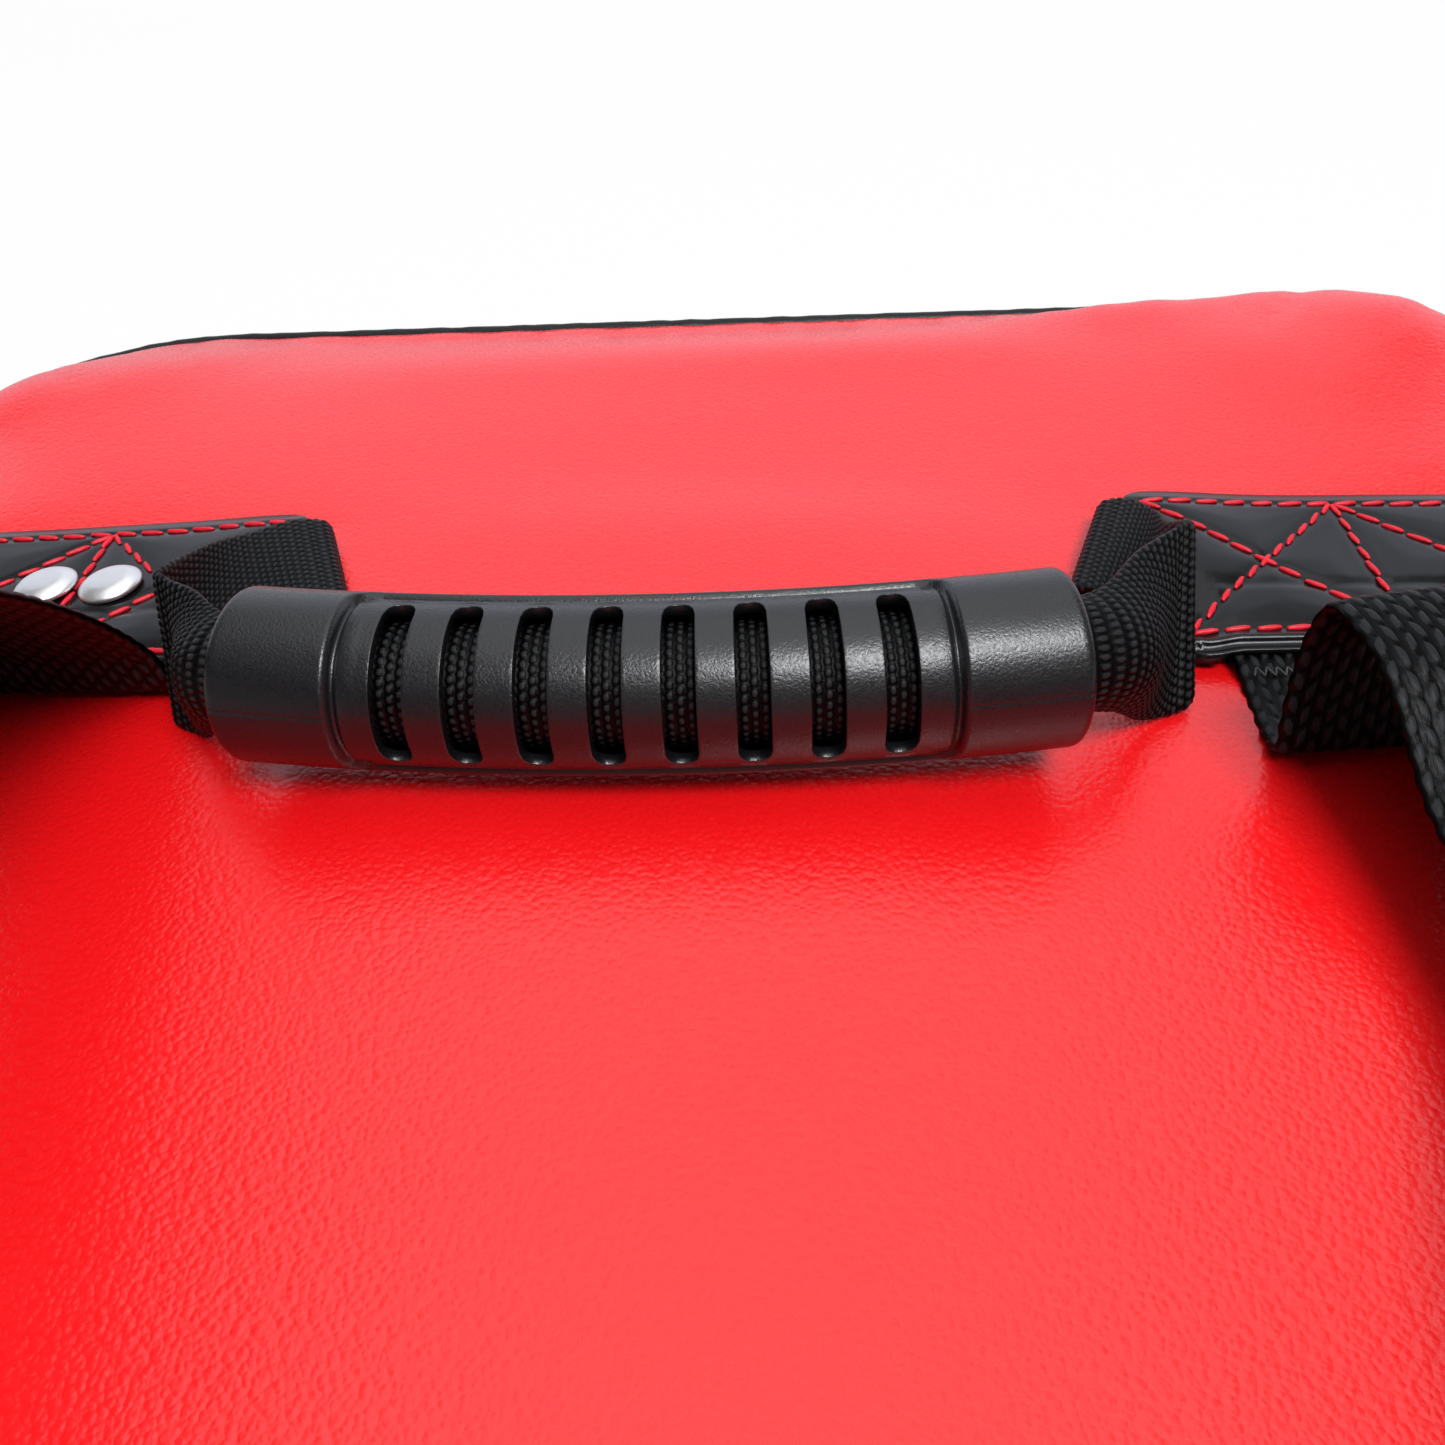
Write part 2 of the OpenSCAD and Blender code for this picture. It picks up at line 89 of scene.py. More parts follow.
def editMesh(obj, work):  # opens a mesh for bmesh operators and writes it back
    bm = bmesh.new()
    bm.from_mesh(obj.data)
    work(bm)
    bm.to_mesh(obj.data)
    bm.free()


def turnOver(obj):  # a mirrored sheet faces the wrong way
    editMesh(obj, lambda bm: bmesh.ops.reverse_faces(bm, faces=bm.faces))


def weld(obj, outward=False, caps=False):
    def work(bm):
        bmesh.ops.remove_doubles(bm, verts=bm.verts, dist=weldGap)
        if caps:
            bmesh.ops.holes_fill(bm, edges=[e for e in bm.edges if e.is_boundary], sides=0)
        if outward:
            bmesh.ops.recalc_face_normals(bm, faces=bm.faces)
    editMesh(obj, work)


def readPoints(mesh):
    co = np.empty(len(mesh.vertices) * 3, np.float32)
    mesh.vertices.foreach_get("co", co)
    return co.reshape(-1, 3).astype(float)


def writePoints(obj, *columns):  # x, y and z, or all three in one array
    points = np.column_stack(columns) * mm
    obj.data.vertices.foreach_set("co", points.astype(np.float32).ravel())
    obj.data.update()


def gridSheet(name, cellsU, cellsV, sides=1):  # flat grids, u and v run from 0 to 1 on each side
    bm = bmesh.new()
    bm.loops.layers.uv.new("UVMap")
    for side in range(sides):
        made = bmesh.ops.create_grid(bm, x_segments=cellsU, y_segments=cellsV, size=1.0, calc_uvs=True)
        if side:
            faces = list({f for v in made["verts"] for f in v.link_faces})
            bmesh.ops.reverse_faces(bm, faces=faces)
    obj = linkObject(name, bm)
    co = readPoints(obj.data)
    return obj, (co[:, 0] + 1) / 2, (co[:, 1] + 1) / 2


def scaleUv(obj, sizeU, sizeV):  # UVs in millimetres of cloth
    layer = obj.data.uv_layers[0].data
    uv = np.empty(len(layer) * 2, np.float32)
    layer.foreach_get("uv", uv)
    layer.foreach_set("uv", (uv.reshape(-1, 2) * np.array([sizeU, sizeV], np.float32)).ravel())


def keepValue(obj, name, values):  # a number per point that stays with the mesh
    attribute = obj.data.attributes.new(name, "FLOAT", "POINT")
    attribute.data.foreach_set("value", np.asarray(values, np.float32))


def thicken(obj, wall, edge=0.0, steps=2):  # wall inward from the drawn face, its edges rounded
    solid = obj.modifiers.new("wall", "SOLIDIFY")
    solid.thickness, solid.offset = wall * mm, -1
    if edge:
        bevel = obj.modifiers.new("edge", "BEVEL")
        bevel.width, bevel.segments = edge * mm, steps
        bevel.limit_method, bevel.angle_limit = "ANGLE", math.radians(50)


def softStep(x, low, high):
    t = np.clip((x - low) / (high - low), 0, 1)
    return t * t * (3 - 2 * t)


def softFall(x, low, high):
    return softStep(-x, -high, -low)


def hump(x, wide, y=0.0, deep=1.0):  # soft hill, 1 at its middle
    return np.exp(-((x / wide) ** 2) - (y / deep) ** 2)


def ripple(x, y, length, seed, waves=7):  # soft uneven waves of about this length, -1 to 1
    rng = np.random.default_rng(seed)
    total = np.zeros_like(x)
    for _ in range(waves):
        turn, phase = rng.uniform(0, fullTurn, 2)
        stretch = length * rng.uniform(0.7, 1.6)
        total += np.sin((x * math.cos(turn) + y * math.sin(turn)) * fullTurn / stretch + phase)
    return total / waves * 1.6


def segmentGap(x, y, start, end):  # distance from a straight line
    (ax, ay), (bx, by) = start, end
    t = ((x - ax) * (bx - ax) + (y - ay) * (by - ay)) / ((bx - ax) ** 2 + (by - ay) ** 2)
    t = np.clip(t, 0, 1)
    return np.hypot(x - ax - t * (bx - ax), y - ay - t * (by - ay))


def stepLengths(points):
    return np.linalg.norm(np.diff(points, axis=0), axis=1)


def curveAt(points, spans, t):  # smooth curve through given points, t counts points
    p, k = np.asarray(points, float), np.asarray(spans)[:, None]
    slope = np.vstack([(p[1] - p[0]) / k[0], np.zeros_like(p[2:]), (p[-1] - p[-2]) / k[-1]])
    before, after = (p[1:-1] - p[:-2]) / k[:-1], (p[2:] - p[1:-1]) / k[1:]
    slope[1:-1] = (before * k[1:] + after * k[:-1]) / (k[:-1] + k[1:])
    i = np.clip(np.floor(t).astype(int), 0, len(k) - 1)
    f = (t - i)[:, None]
    d, u, v = p[i + 1] - p[i], slope[i] * k[i], slope[i + 1] * k[i]
    return p[i] + u * f + (3 * d - 2 * u - v) * f**2 + (u + v - 2 * d) * f**3


def unitRows(v):
    return v / np.linalg.norm(v, axis=1)[:, None]


def addNode(tree, kind, inputs, out=0, **values):  # an input is a value or another node's output
    node = tree.nodes.new("ShaderNode" + kind)
    node.location.x = 190 * len(tree.nodes) - 2600
    for key, value in values.items():
        setattr(node, key, value)
    for key, value in inputs.items():
        if isinstance(value, bpy.types.NodeSocket):
            tree.links.new(value, node.inputs[key])
        else:
            node.inputs[key].default_value = value
    return node.outputs[out]


def startGroup(name, inputs, outputs):  # a vector that places the pattern, and numbers with their defaults
    group = bpy.data.node_groups.new(name, "ShaderNodeTree")
    group.interface.new_socket("Vector", in_out="INPUT", socket_type="NodeSocketVector")
    for label, value in inputs.items():
        socket = group.interface.new_socket(label, in_out="INPUT", socket_type="NodeSocketFloat")
        socket.default_value = value
    for label in outputs:
        group.interface.new_socket(label, in_out="OUTPUT", socket_type="NodeSocketFloat")
    return group, group.nodes.new("NodeGroupInput").outputs


def endGroup(group, **sockets):
    ends = group.nodes.new("NodeGroupOutput").inputs
    for label, socket in sockets.items():
        group.links.new(socket, ends[label])
    return group


def makePebbleGrain():  # vinyl grain: soft pebbles with drawn creases between them
    g, src = startGroup("pebbleGrain", {"Scale": 700.0, "Stretch": 0.3, "Cut": 0.35}, ("Height", "Crease", "Patch"))
    place, scale = src["Vector"], src["Scale"]
    times = lambda share: addNode(g, "Math", {0: scale, 1: share}, operation="MULTIPLY")
    bend = addNode(g, "TexNoise", {"Vector": place, "Scale": times(0.6), "Detail": 2.0}, "Color")
    centre = addNode(g, "VectorMath", {0: bend, 1: (0.5, 0.5, 0.5)}, operation="SUBTRACT")
    pull = addNode(g, "Math", {0: src["Stretch"], 1: scale}, operation="DIVIDE")
    amount = addNode(g, "VectorMath", {0: centre, "Scale": pull}, operation="SCALE")
    moved = addNode(g, "VectorMath", {0: place, 1: amount}, operation="ADD")
    spread = {"Vector": moved, "Scale": scale}
    cells = addNode(g, "TexVoronoi", {**spread, "Smoothness": 0.6}, "Distance", feature="SMOOTH_F1")
    edges = addNode(g, "TexVoronoi", spread, "Distance", feature="DISTANCE_TO_EDGE")
    fine = addNode(g, "TexNoise", {"Vector": place, "Scale": times(1.7), "Detail": 3.0, "Roughness": 0.6})
    blotch = addNode(g, "TexNoise", {"Vector": place, "Scale": times(0.012), "Detail": 2.0})
    crease = addNode(g, "MapRange", {"Value": edges, "From Max": 0.16, "To Min": 1.0, "To Max": 0.0})
    up = addNode(g, "Math", {0: 1.0, 1: cells}, operation="SUBTRACT")
    mixFine = addNode(g, "Math", {0: fine, 1: 0.55, 2: up}, operation="MULTIPLY_ADD")
    cut = addNode(g, "Math", {0: crease, 1: src["Cut"]}, operation="MULTIPLY")
    total = addNode(g, "Math", {0: mixFine, 1: cut}, operation="SUBTRACT")
    return endGroup(g, Height=total, Crease=crease, Patch=blotch)


def makeSpeckle():  # fine even grain, with a slow drift over the piece
    g, src = startGroup("speckle", {"Scale": 4000.0, "Drift": 60.0}, ("Height", "Drift"))
    place = src["Vector"]
    fine = addNode(g, "TexNoise", {"Vector": place, "Scale": src["Scale"], "Detail": 1.5, "Roughness": 0.55})
    slow = addNode(g, "TexNoise", {"Vector": place, "Scale": src["Drift"], "Detail": 2.0})
    return endGroup(g, Height=fine, Drift=slow)


def makeYarnLines():  # fine filaments along the yarns, drawn in millimetres of cloth
    g, src = startGroup("yarnLines", {"Along": 0.6, "Across": 5.0}, ("Height", "Drift"))
    size = addNode(g, "CombineXYZ", {"X": src["Along"], "Y": src["Across"], "Z": 1.0})
    sized = addNode(g, "VectorMath", {0: src["Vector"], 1: size}, operation="MULTIPLY")
    threads = addNode(g, "TexNoise", {"Vector": sized, "Scale": 1.0, "Detail": 2.0, "Roughness": 0.6})
    slow = addNode(g, "TexNoise", {"Vector": src["Vector"], "Scale": 0.07, "Detail": 2.0})
    return endGroup(g, Height=threads, Drift=slow)


pebbleGrain = makePebbleGrain()
speckle = makeSpeckle()
yarnLines = makeYarnLines()


def startMaterial(name):
    mat = bpy.data.materials.new(name)
    mat.use_nodes = True
    return mat, mat.node_tree, mat.node_tree.nodes["Principled BSDF"]


def placeGroup(tree, group, vector, **values):
    return addNode(tree, "Group", {"Vector": vector, **values}, node_tree=group).node.outputs


def rampColour(tree, factor, stops):
    colour = addNode(tree, "ValToRGB", {"Fac": factor})
    elements = colour.node.color_ramp.elements
    for element, (position, shade) in zip((elements[0], elements[1]), (stops[0], stops[-1])):
        element.position, element.color = position, (*shade, 1)
    for position, shade in stops[1:-1]:
        elements.new(position).color = (*shade, 1)
    return colour


def joinShader(tree, shader, s, colour, sheen, height, low=0.0, high=1.0):  # sheen runs from low to high
    roughness = {"Value": sheen, "From Min": low, "From Max": high, "To Min": s["rough"][0], "To Max": s["rough"][1]}
    rough = addNode(tree, "MapRange", roughness)
    normal = addNode(tree, "Bump", {"Strength": 1.0, "Distance": s["depth"] * mm, "Height": height}, "Normal")
    for key, socket in (("Base Color", colour), ("Roughness", rough), ("Normal", normal)):
        tree.links.new(socket, shader.inputs[key])
    shader.inputs["Metallic"].default_value = s.get("metal", 0.0)
    shader.inputs["Specular IOR Level"].default_value = s["shine"]


def makeVinyl(name, s):
    mat, tree, shader = startMaterial(name)
    coord = addNode(tree, "TexCoord", {}, "Object")
    grain = placeGroup(tree, pebbleGrain, coord, Scale=s["grain"], Stretch=s["stretch"], Cut=s["cut"])
    body = rampColour(tree, grain["Patch"], [(0.3, s["dark"]), (0.7, s["light"])])
    # painted shade: the grain's creases are darkened toward the crease colour, as much as creaseShade says
    creaseShadeShare = addNode(tree, "Math", {0: grain["Crease"], 1: s["creaseShade"]}, operation="MULTIPLY")
    creaseShaded = addNode(tree, "Mix", {0: creaseShadeShare, 6: body, 7: (*s["crease"], 1)}, 2, data_type="RGBA")
    joinShader(tree, shader, s, creaseShaded, grain["Height"], grain["Height"])
    return mat


def makeWebbing(name, s):  # reads the height of the yarns, which the mesh keeps, and paints shade between them and glints on their tops
    mat, tree, shader = startMaterial(name)
    lines = placeGroup(tree, yarnLines, addNode(tree, "TexCoord", {}, "UV"), Along=s["along"], Across=s["across"])
    rise = addNode(tree, "Attribute", {}, "Fac", attribute_name="rise")
    level = addNode(tree, "Math", {0: lines["Height"], 1: 0.35, 2: rise}, operation="MULTIPLY_ADD")
    # painted shade and glints: the colour runs from deep between the yarns to top on their crests
    colour = rampColour(tree, level, [(0.25, s["deep"]), (0.85, s["body"]), (1.0, s["top"])])
    joinShader(tree, shader, s, colour, lines["Drift"], lines["Height"])
    return mat


def makePlain(name, s):  # plastic, steel, foam and thread
    mat, tree, shader = startMaterial(name)
    grain = placeGroup(tree, speckle, addNode(tree, "TexCoord", {}, "Object"), Scale=s["grain"], Drift=s["drift"])
    colour = rampColour(tree, grain["Drift"], [(0.3, s["dark"]), (0.7, s["light"])])
    joinShader(tree, shader, s, colour, grain["Height"], grain["Height"], 0.3, 0.7)
    return mat


finishes = {
    # in the vinyls, crease and creaseShade are painted shade in the grain's creases; dark and light are the vinyl's own
    # uneven tone
    "redVinyl": {
        "make": makeVinyl, "slot": "red_vinyl", "grain": 980.0, "stretch": 0.5, "cut": 0.05,
        "dark": (0.88, 0.004, 0.006), "light": (0.94, 0.007, 0.010), "crease": (0.80, 0.003, 0.005),
        "creaseShade": 0.10, "rough": (0.22, 0.30), "depth": 0.095, "shine": 0.74,
    },
    "blackVinyl": {
        "make": makeVinyl, "slot": "black_vinyl", "grain": 760.0, "stretch": 0.45, "cut": 0.35,
        "dark": (0.006, 0.006, 0.007), "light": (0.010, 0.010, 0.011), "crease": (0.004, 0.004, 0.004),
        "creaseShade": 0.4, "rough": (0.34, 0.46), "depth": 0.10, "shine": 0.4,
    },
    "patchVinyl": {
        "make": makeVinyl, "slot": "patch_vinyl", "grain": 1500.0, "stretch": 0.5, "cut": 0.2,
        "dark": (0.004, 0.004, 0.0045), "light": (0.007, 0.007, 0.008), "crease": (0.003, 0.003, 0.003),
        "creaseShade": 0.2, "rough": (0.17, 0.23), "depth": 0.005, "shine": 0.27,
    },
    "pipingVinyl": {
        "make": makeVinyl, "slot": "piping_vinyl", "grain": 1400.0, "stretch": 0.5, "cut": 0.2,
        "dark": (0.004, 0.004, 0.004), "light": (0.008, 0.008, 0.009), "crease": (0.003, 0.003, 0.003),
        "creaseShade": 0.3, "rough": (0.30, 0.40), "depth": 0.04, "shine": 0.3,
    },
    # in the webbings, deep is painted shade between the yarns, top a painted glint on their crests, body the webbing's
    # own black
    "handleWeb": {
        "make": makeWebbing, "slot": "handle_web", "along": 0.9, "across": 6.0, "deep": (0.0004, 0.0004, 0.0005),
        "body": (0.0018, 0.0018, 0.002), "top": (0.020, 0.021, 0.023), "rough": (0.36, 0.48), "depth": 0.05,
        "shine": 0.11,
    },
    "strapWeb": {
        "make": makeWebbing, "slot": "strap_web", "along": 0.5, "across": 4.5, "deep": (0.0004, 0.0004, 0.0005),
        "body": (0.0022, 0.0023, 0.0025), "top": (0.018, 0.019, 0.021), "rough": (0.36, 0.48), "depth": 0.07,
        "shine": 0.11,
    },
    "gripPlastic": {
        "make": makePlain, "slot": "grip_plastic", "grain": 2300.0, "drift": 55.0, "dark": (0.0045, 0.0048, 0.006),
        "light": (0.0065, 0.007, 0.0085), "rough": (0.27, 0.40), "depth": 0.06, "shine": 0.66,
    },
    "rivetSteel": {
        "make": makePlain, "slot": "rivet_steel", "grain": 900.0, "drift": 200.0, "dark": (0.86, 0.86, 0.87),
        "light": (0.94, 0.94, 0.94), "rough": (0.38, 0.46), "depth": 0.004, "shine": 0.5, "metal": 1.0,
    },
    "denseFoam": {
        "make": makePlain, "slot": "dense_foam", "grain": 900.0, "drift": 30.0, "dark": (0.22, 0.23, 0.25),
        "light": (0.30, 0.31, 0.33), "rough": (0.8, 0.95), "depth": 0.25, "shine": 0.3,
    },
    "softFoam": {
        "make": makePlain, "slot": "soft_foam", "grain": 700.0, "drift": 25.0, "dark": (0.68, 0.66, 0.58),
        "light": (0.80, 0.78, 0.70), "rough": (0.8, 0.95), "depth": 0.35, "shine": 0.3,
    },
    "redThread": {
        "make": makePlain, "slot": "red_vinyl", "grain": 5200.0, "drift": 180.0, "dark": (0.66, 0.006, 0.020),
        "light": (0.84, 0.012, 0.034), "rough": (0.34, 0.50), "depth": 0.05, "shine": 0.5,
    },
    "greyThread": {
        "make": makePlain, "slot": "strap_web", "grain": 5200.0, "drift": 180.0, "dark": (0.03, 0.03, 0.03),
        "light": (0.08, 0.08, 0.08), "rough": (0.45, 0.6), "depth": 0.05, "shine": 0.4,
    },
}
materials = {name: s["make"](name, s) for name, s in finishes.items()}
print("materials:", len(materials))


def dress(obj, finish, body=None, *nodes):  # smooth shading, finish, body, and the nodes that the piece stands for
    obj.data.polygons.foreach_set("use_smooth", [True] * len(obj.data.polygons))
    obj.data.update()
    obj.data.materials.clear()
    obj.data.materials.append(materials[finish])
    if body:
        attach(obj, body)
    if nodes:
        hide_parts(*nodes)


padShape = {
    "seamX": 197.2, "seamY": 297.2, "corner": 60.0, "roll": 34.0, "fall": 6.0, "top": 150.0,
    "belly": 2.5, "skin": 1.4, "bead": 2.2, "beadOut": 0.6, "cell": 5.0,
    "patches": ((82, 166), (129, 187)),  # where the back panel is sewn down, from the pad's middle
    "sewnX": (124, 42, 58), "sewnY": (158, 28, 42),  # middle of a patch, and where the panel comes free of it
}


def roundOutline(p, q, halfX, halfY, corner):  # square grid bent to rounded corners, with the distance from the edge
    cx, cy = halfX - corner, halfY - corner
    s = np.clip((np.abs(p) - cx) / corner, 0, 1)
    t = np.clip((np.abs(q) - cy) / corner, 0, 1)
    both = (s > 0) & (t > 0)
    r = np.maximum(s, t)
    safe = np.where(r > 0, r, 1)
    angle = np.where(s >= t, math.pi / 4 * t / safe, math.pi / 2 - math.pi / 4 * s / safe)
    x = np.where(both, cx + corner * r * np.cos(angle), np.abs(p))
    y = np.where(both, cy + corner * r * np.sin(angle), np.abs(q))
    gapX, gapY = halfX - np.abs(p), halfY - np.abs(q)
    edge = np.where(both, corner * (1 - r), np.minimum(gapX, gapY))
    outX = np.where(both, np.cos(angle), np.where(gapX < gapY, 1.0, 0.0))
    outY = np.where(both, np.sin(angle), 1 - outX)
    sx, sy = np.where(p < 0, -1, 1), np.where(q < 0, -1, 1)
    return x * sx, y * sy, edge, outX * sx, outY * sy


def roundSheet(name, cells, halfX, halfY, corner, closer=1):  # rounded sheet, its cells closer toward the edges
    obj, u, v = gridSheet(name, *cells)
    p, q = 2 * u - 1, 2 * v - 1
    if closer != 1:
        p, q = (np.sign(t) * (1 - (1 - np.abs(t)) ** closer) for t in (p, q))
    return (obj, *roundOutline(p * halfX, q * halfY, halfX, halfY, corner))


def seamGap(x, y, p):  # distance from the seam round the cover
    px, py = np.abs(x) - (p["seamX"] - p["corner"]), np.abs(y) - (p["seamY"] - p["corner"])
    straight = np.minimum(p["seamX"] - np.abs(x), p["seamY"] - np.abs(y))
    return np.clip(np.where((px > 0) & (py > 0), p["corner"] - np.hypot(px, py), straight), 0, None)


def edgeLine(halfX, halfY, corner):  # the outline as points and outward directions, by length
    cx, cy = halfX - corner, halfY - corner
    rows = []
    for sx, sy, start in ((1, 1, 0), (-1, 1, 90), (-1, -1, 180), (1, -1, 270)):
        for a in np.radians(np.linspace(start, start + 90, 48)):
            outX, outY = math.cos(a), math.sin(a)
            rows.append((sx * cx + corner * outX, sy * cy + corner * outY, outX, outY))
    x, y, outX, outY = np.array(rows + rows[:1]).T
    length = np.concatenate([[0], np.cumsum(np.hypot(np.diff(x), np.diff(y)))])
    return length, x, y, outX, outY


def onEdge(line, s):
    length, x, y, outX, outY = line
    s = np.mod(s, length[-1])
    nx, ny = np.interp(s, length, outX), np.interp(s, length, outY)
    k = np.hypot(nx, ny)
    return np.interp(s, length, x), np.interp(s, length, y), nx / k, ny / k


def seamBand(name, p, out, cell, rows):  # a sheet that follows the seam round the pad, this far out from it
    line = edgeLine(p["seamX"] + out, p["seamY"] + out, p["corner"] + out)
    around = line[0][-1]
    obj, u, v = gridSheet(name, int(around / cell), rows)
    ring = np.cos(u * fullTurn) * 300, np.sin(u * fullTurn) * 300  # a circle, so that waves close on themselves
    return obj, v, around, onEdge(line, u * around), ring


backCover = {
    "pressure": 4.0, "frames": 20, "stiff": 25, "cap": 2.2,
    # place, height and reach of the swellings that the photograph shows
    "swells": [
        (166, 258, 6.4, 40, 36), (172, 268, 4.0, 24, 22), (145, 290, 2.6, 60, 18), (115, 288, 2.2, 40, 18),
        (-168, 262, 3.2, 36, 34), (-186, 252, 3.0, 18, 20), (60, 262, 1.6, 60, 26), (-40, 268, 0.8, 70, 22),
        (40, 215, -1.2, 70, 30), (-150, 40, 1.0, 60, 90), (140, 60, 1.0, 60, 90), (-20, 60, 1.0, 90, 60),
        (-6, 100, 3.0, 72, 38),
    ],
    "creases": [((104, 288), (140, 236), 0.9, 15.0), ((-120, 290), (-150, 258), 0.6, 12.0)],
    "hem": 1.3,  # stands up beside the piping
    "rest": (-2, 228, 106, 38, 0.85),  # lies flatter where the handle comes down on the far side
    "wave": 0.7, "waveLength": 120, "pucker": 0.45, "puckerLength": 15, "seed": 3,
}
frontCover = {
    "cap": 0.0, "swells": [], "creases": [], "hem": 0.0, "rest": (0, 0, 1, 1, 0.0),
    "wave": 0.25, "waveLength": 140, "pucker": 0.45, "puckerLength": 16, "seed": 19,
}


def puffed(obj, pinned, s):  # how far air pressure lifts the sewn-down cover, as a cloth
    start = readPoints(obj.data)
    sewn = obj.vertex_groups.new(name="sewn")
    sewn.add([int(i) for i in np.flatnonzero(pinned)], 1.0, "REPLACE")
    cloth = obj.modifiers.new("puff", "CLOTH")
    how = cloth.settings
    how.vertex_group_mass, how.quality, how.effector_weights.gravity = "sewn", 4, 0
    how.use_pressure, how.uniform_pressure_force = True, s["pressure"]
    how.tension_stiffness = how.compression_stiffness = s["stiff"]
    cloth.point_cache.frame_start, cloth.point_cache.frame_end = 1, s["frames"]
    for f in range(1, s["frames"] + 1):
        scene.frame_set(f)
    moved = obj.evaluated_get(bpy.context.evaluated_depsgraph_get())
    lift = (readPoints(moved.data)[:, 2] - start[:, 2]) / mm
    obj.modifiers.remove(cloth)
    obj.vertex_groups.clear()
    scene.frame_set(1)
    return lift


def finerCells(obj, lift):  # halves the cells and gives the lift at the new points
    keepValue(obj, "lift", lift)
    editMesh(obj, lambda bm: bmesh.ops.subdivide_edges(bm, edges=bm.edges, cuts=1, use_grid_fill=True))
    lift = np.empty(len(obj.data.vertices), np.float32)
    obj.data.attributes["lift"].data.foreach_get("value", lift)
    obj.data.attributes.remove(obj.data.attributes["lift"])
    return lift


def makeCover(name, s, p, back):
    halfX, halfY = p["seamX"], p["seamY"]
    cells = [int(2 * half / p["cell"]) for half in (halfX, halfY)]
    obj, x, y, edge, _, _ = roundSheet(name, cells, halfX, halfY, p["corner"])
    rollR = (p["roll"] ** 2 + p["fall"] ** 2) / (2 * p["fall"])
    height = lambda edge: p["top"] - (rollR - np.sqrt(rollR**2 - np.clip(p["roll"] - edge, 0, None) ** 2))
    writePoints(obj, x, y, height(edge))
    lift = np.zeros_like(x)
    if s["cap"]:
        (x0, x1), (y0, y1) = p["patches"]
        under = (np.abs(x) > x0) & (np.abs(x) < x1) & (np.abs(y) > y0) & (np.abs(y) < y1)
        lift = puffed(obj, (edge < 0.5) | under, s)
        print(name, "puffed: %.1f to %.1f mm" % (lift.min(), lift.max()))
        lift = s["cap"] * np.tanh(lift / s["cap"])
    lift = finerCells(obj, lift)
    x, y = (readPoints(obj.data) / mm)[:, :2].T
    edge = seamGap(x, y, p)
    fadeIn = lambda reach: softStep(edge, 0, reach)  # nothing is drawn on the seam itself
    z = height(edge) + lift
    for sx, sy, high, rx, ry in s["swells"]:
        z += high * hump(x - sx, rx, y - sy, ry) * fadeIn(11)
    for start, end, high, wide in s["creases"]:
        z += high * hump(segmentGap(x, y, start, end), wide) * fadeIn(8)
    free = np.ones_like(x)
    if back:  # stays down under the patches
        (mx, nearX, farX), (my, nearY, farY) = p["sewnX"], p["sewnY"]
        free = softStep(np.abs(np.abs(x) - mx), nearX, farX) + softStep(np.abs(np.abs(y) - my), nearY, farY)
        free = np.clip(free, 0, 1)
    z += s["wave"] * ripple(x, y, s["waveLength"], s["seed"]) * fadeIn(24) * free
    along = np.arctan2(y / halfY, x / halfX)
    pucker = ripple(along * 320, edge * 0.4, s["puckerLength"], s["seed"] + 1)
    z += s["pucker"] * pucker * hump(edge - 5, 8) * fadeIn(4)
    z += s["hem"] * hump(edge - 3.2, 3.0) * fadeIn(1.6)
    rx, ry, wide, deep, share = s["rest"]
    z -= share * np.exp(-(((x - rx) / wide) ** 4) - ((y - ry) / deep) ** 4) * (z - p["top"])
    z = np.where(free < 1, np.minimum(z, p["top"] + 12 * free), z)
    if not back:
        z = p["top"] - np.clip(z, None, p["top"])
    writePoints(obj, x, y, z)
    if not back:
        weld(obj)
        turnOver(obj)
    thicken(obj, p["skin"])
    return obj


backPanel = makeCover("backPanel", backCover, padShape, True)
dress(backPanel, "redVinyl", "pad", "back_panel")
strikingPanel = makeCover("strikingPanel", frontCover, padShape, False)
dress(strikingPanel, "redVinyl", "pad", "striking_panel")
print("cover panels made")

sideWall = {
    "cell": 3.0, "rows": 30, "pucker": 0.55, "puckerLength": 17, "wave": 0.9, "waveLength": 90, "seed": 31,
    "sink": -0.4, "swell": 1.2,  # furthest in from the seam, and out from the belly
}


def makeSideWall(s, p):
    band = seamBand("sideWall", p, 0, s["cell"], s["rows"])
    obj, v, around, (x, y, outX, outY), (ringX, ringY) = band
    z = p["fall"] + v * (p["top"] - 2 * p["fall"])
    half = p["top"] / 2 - p["fall"]
    seam = np.minimum(v, 1 - v) * 2 * half  # distance from the nearer seam
    pucker = ripple(ringX, ringY + np.where(v > 0.5, 900, 0), s["puckerLength"], s["seed"])
    wave = ripple(ringX, ringY + z * 0.5, s["waveLength"], s["seed"] + 1)
    out = p["belly"] * (1 - ((z - p["top"] / 2) / half) ** 2)
    out = out + s["pucker"] * pucker * hump(seam - 6, 9) + s["wave"] * wave * softStep(seam, 0, 30)
    out = np.clip(out, s["sink"], p["belly"] + s["swell"])
    writePoints(obj, x + outX * out, y + outY * out, z)
    scaleUv(obj, around, p["top"])
    weld(obj, outward=True)
    thicken(obj, p["skin"])
    dress(obj, "blackVinyl", "pad", "side_gusset")


makeSideWall(sideWall, padShape)

piping = {"cell": 2.6, "around": 12, "ripple": 0.16, "rippleLength": 9.0, "thin": 0.08}


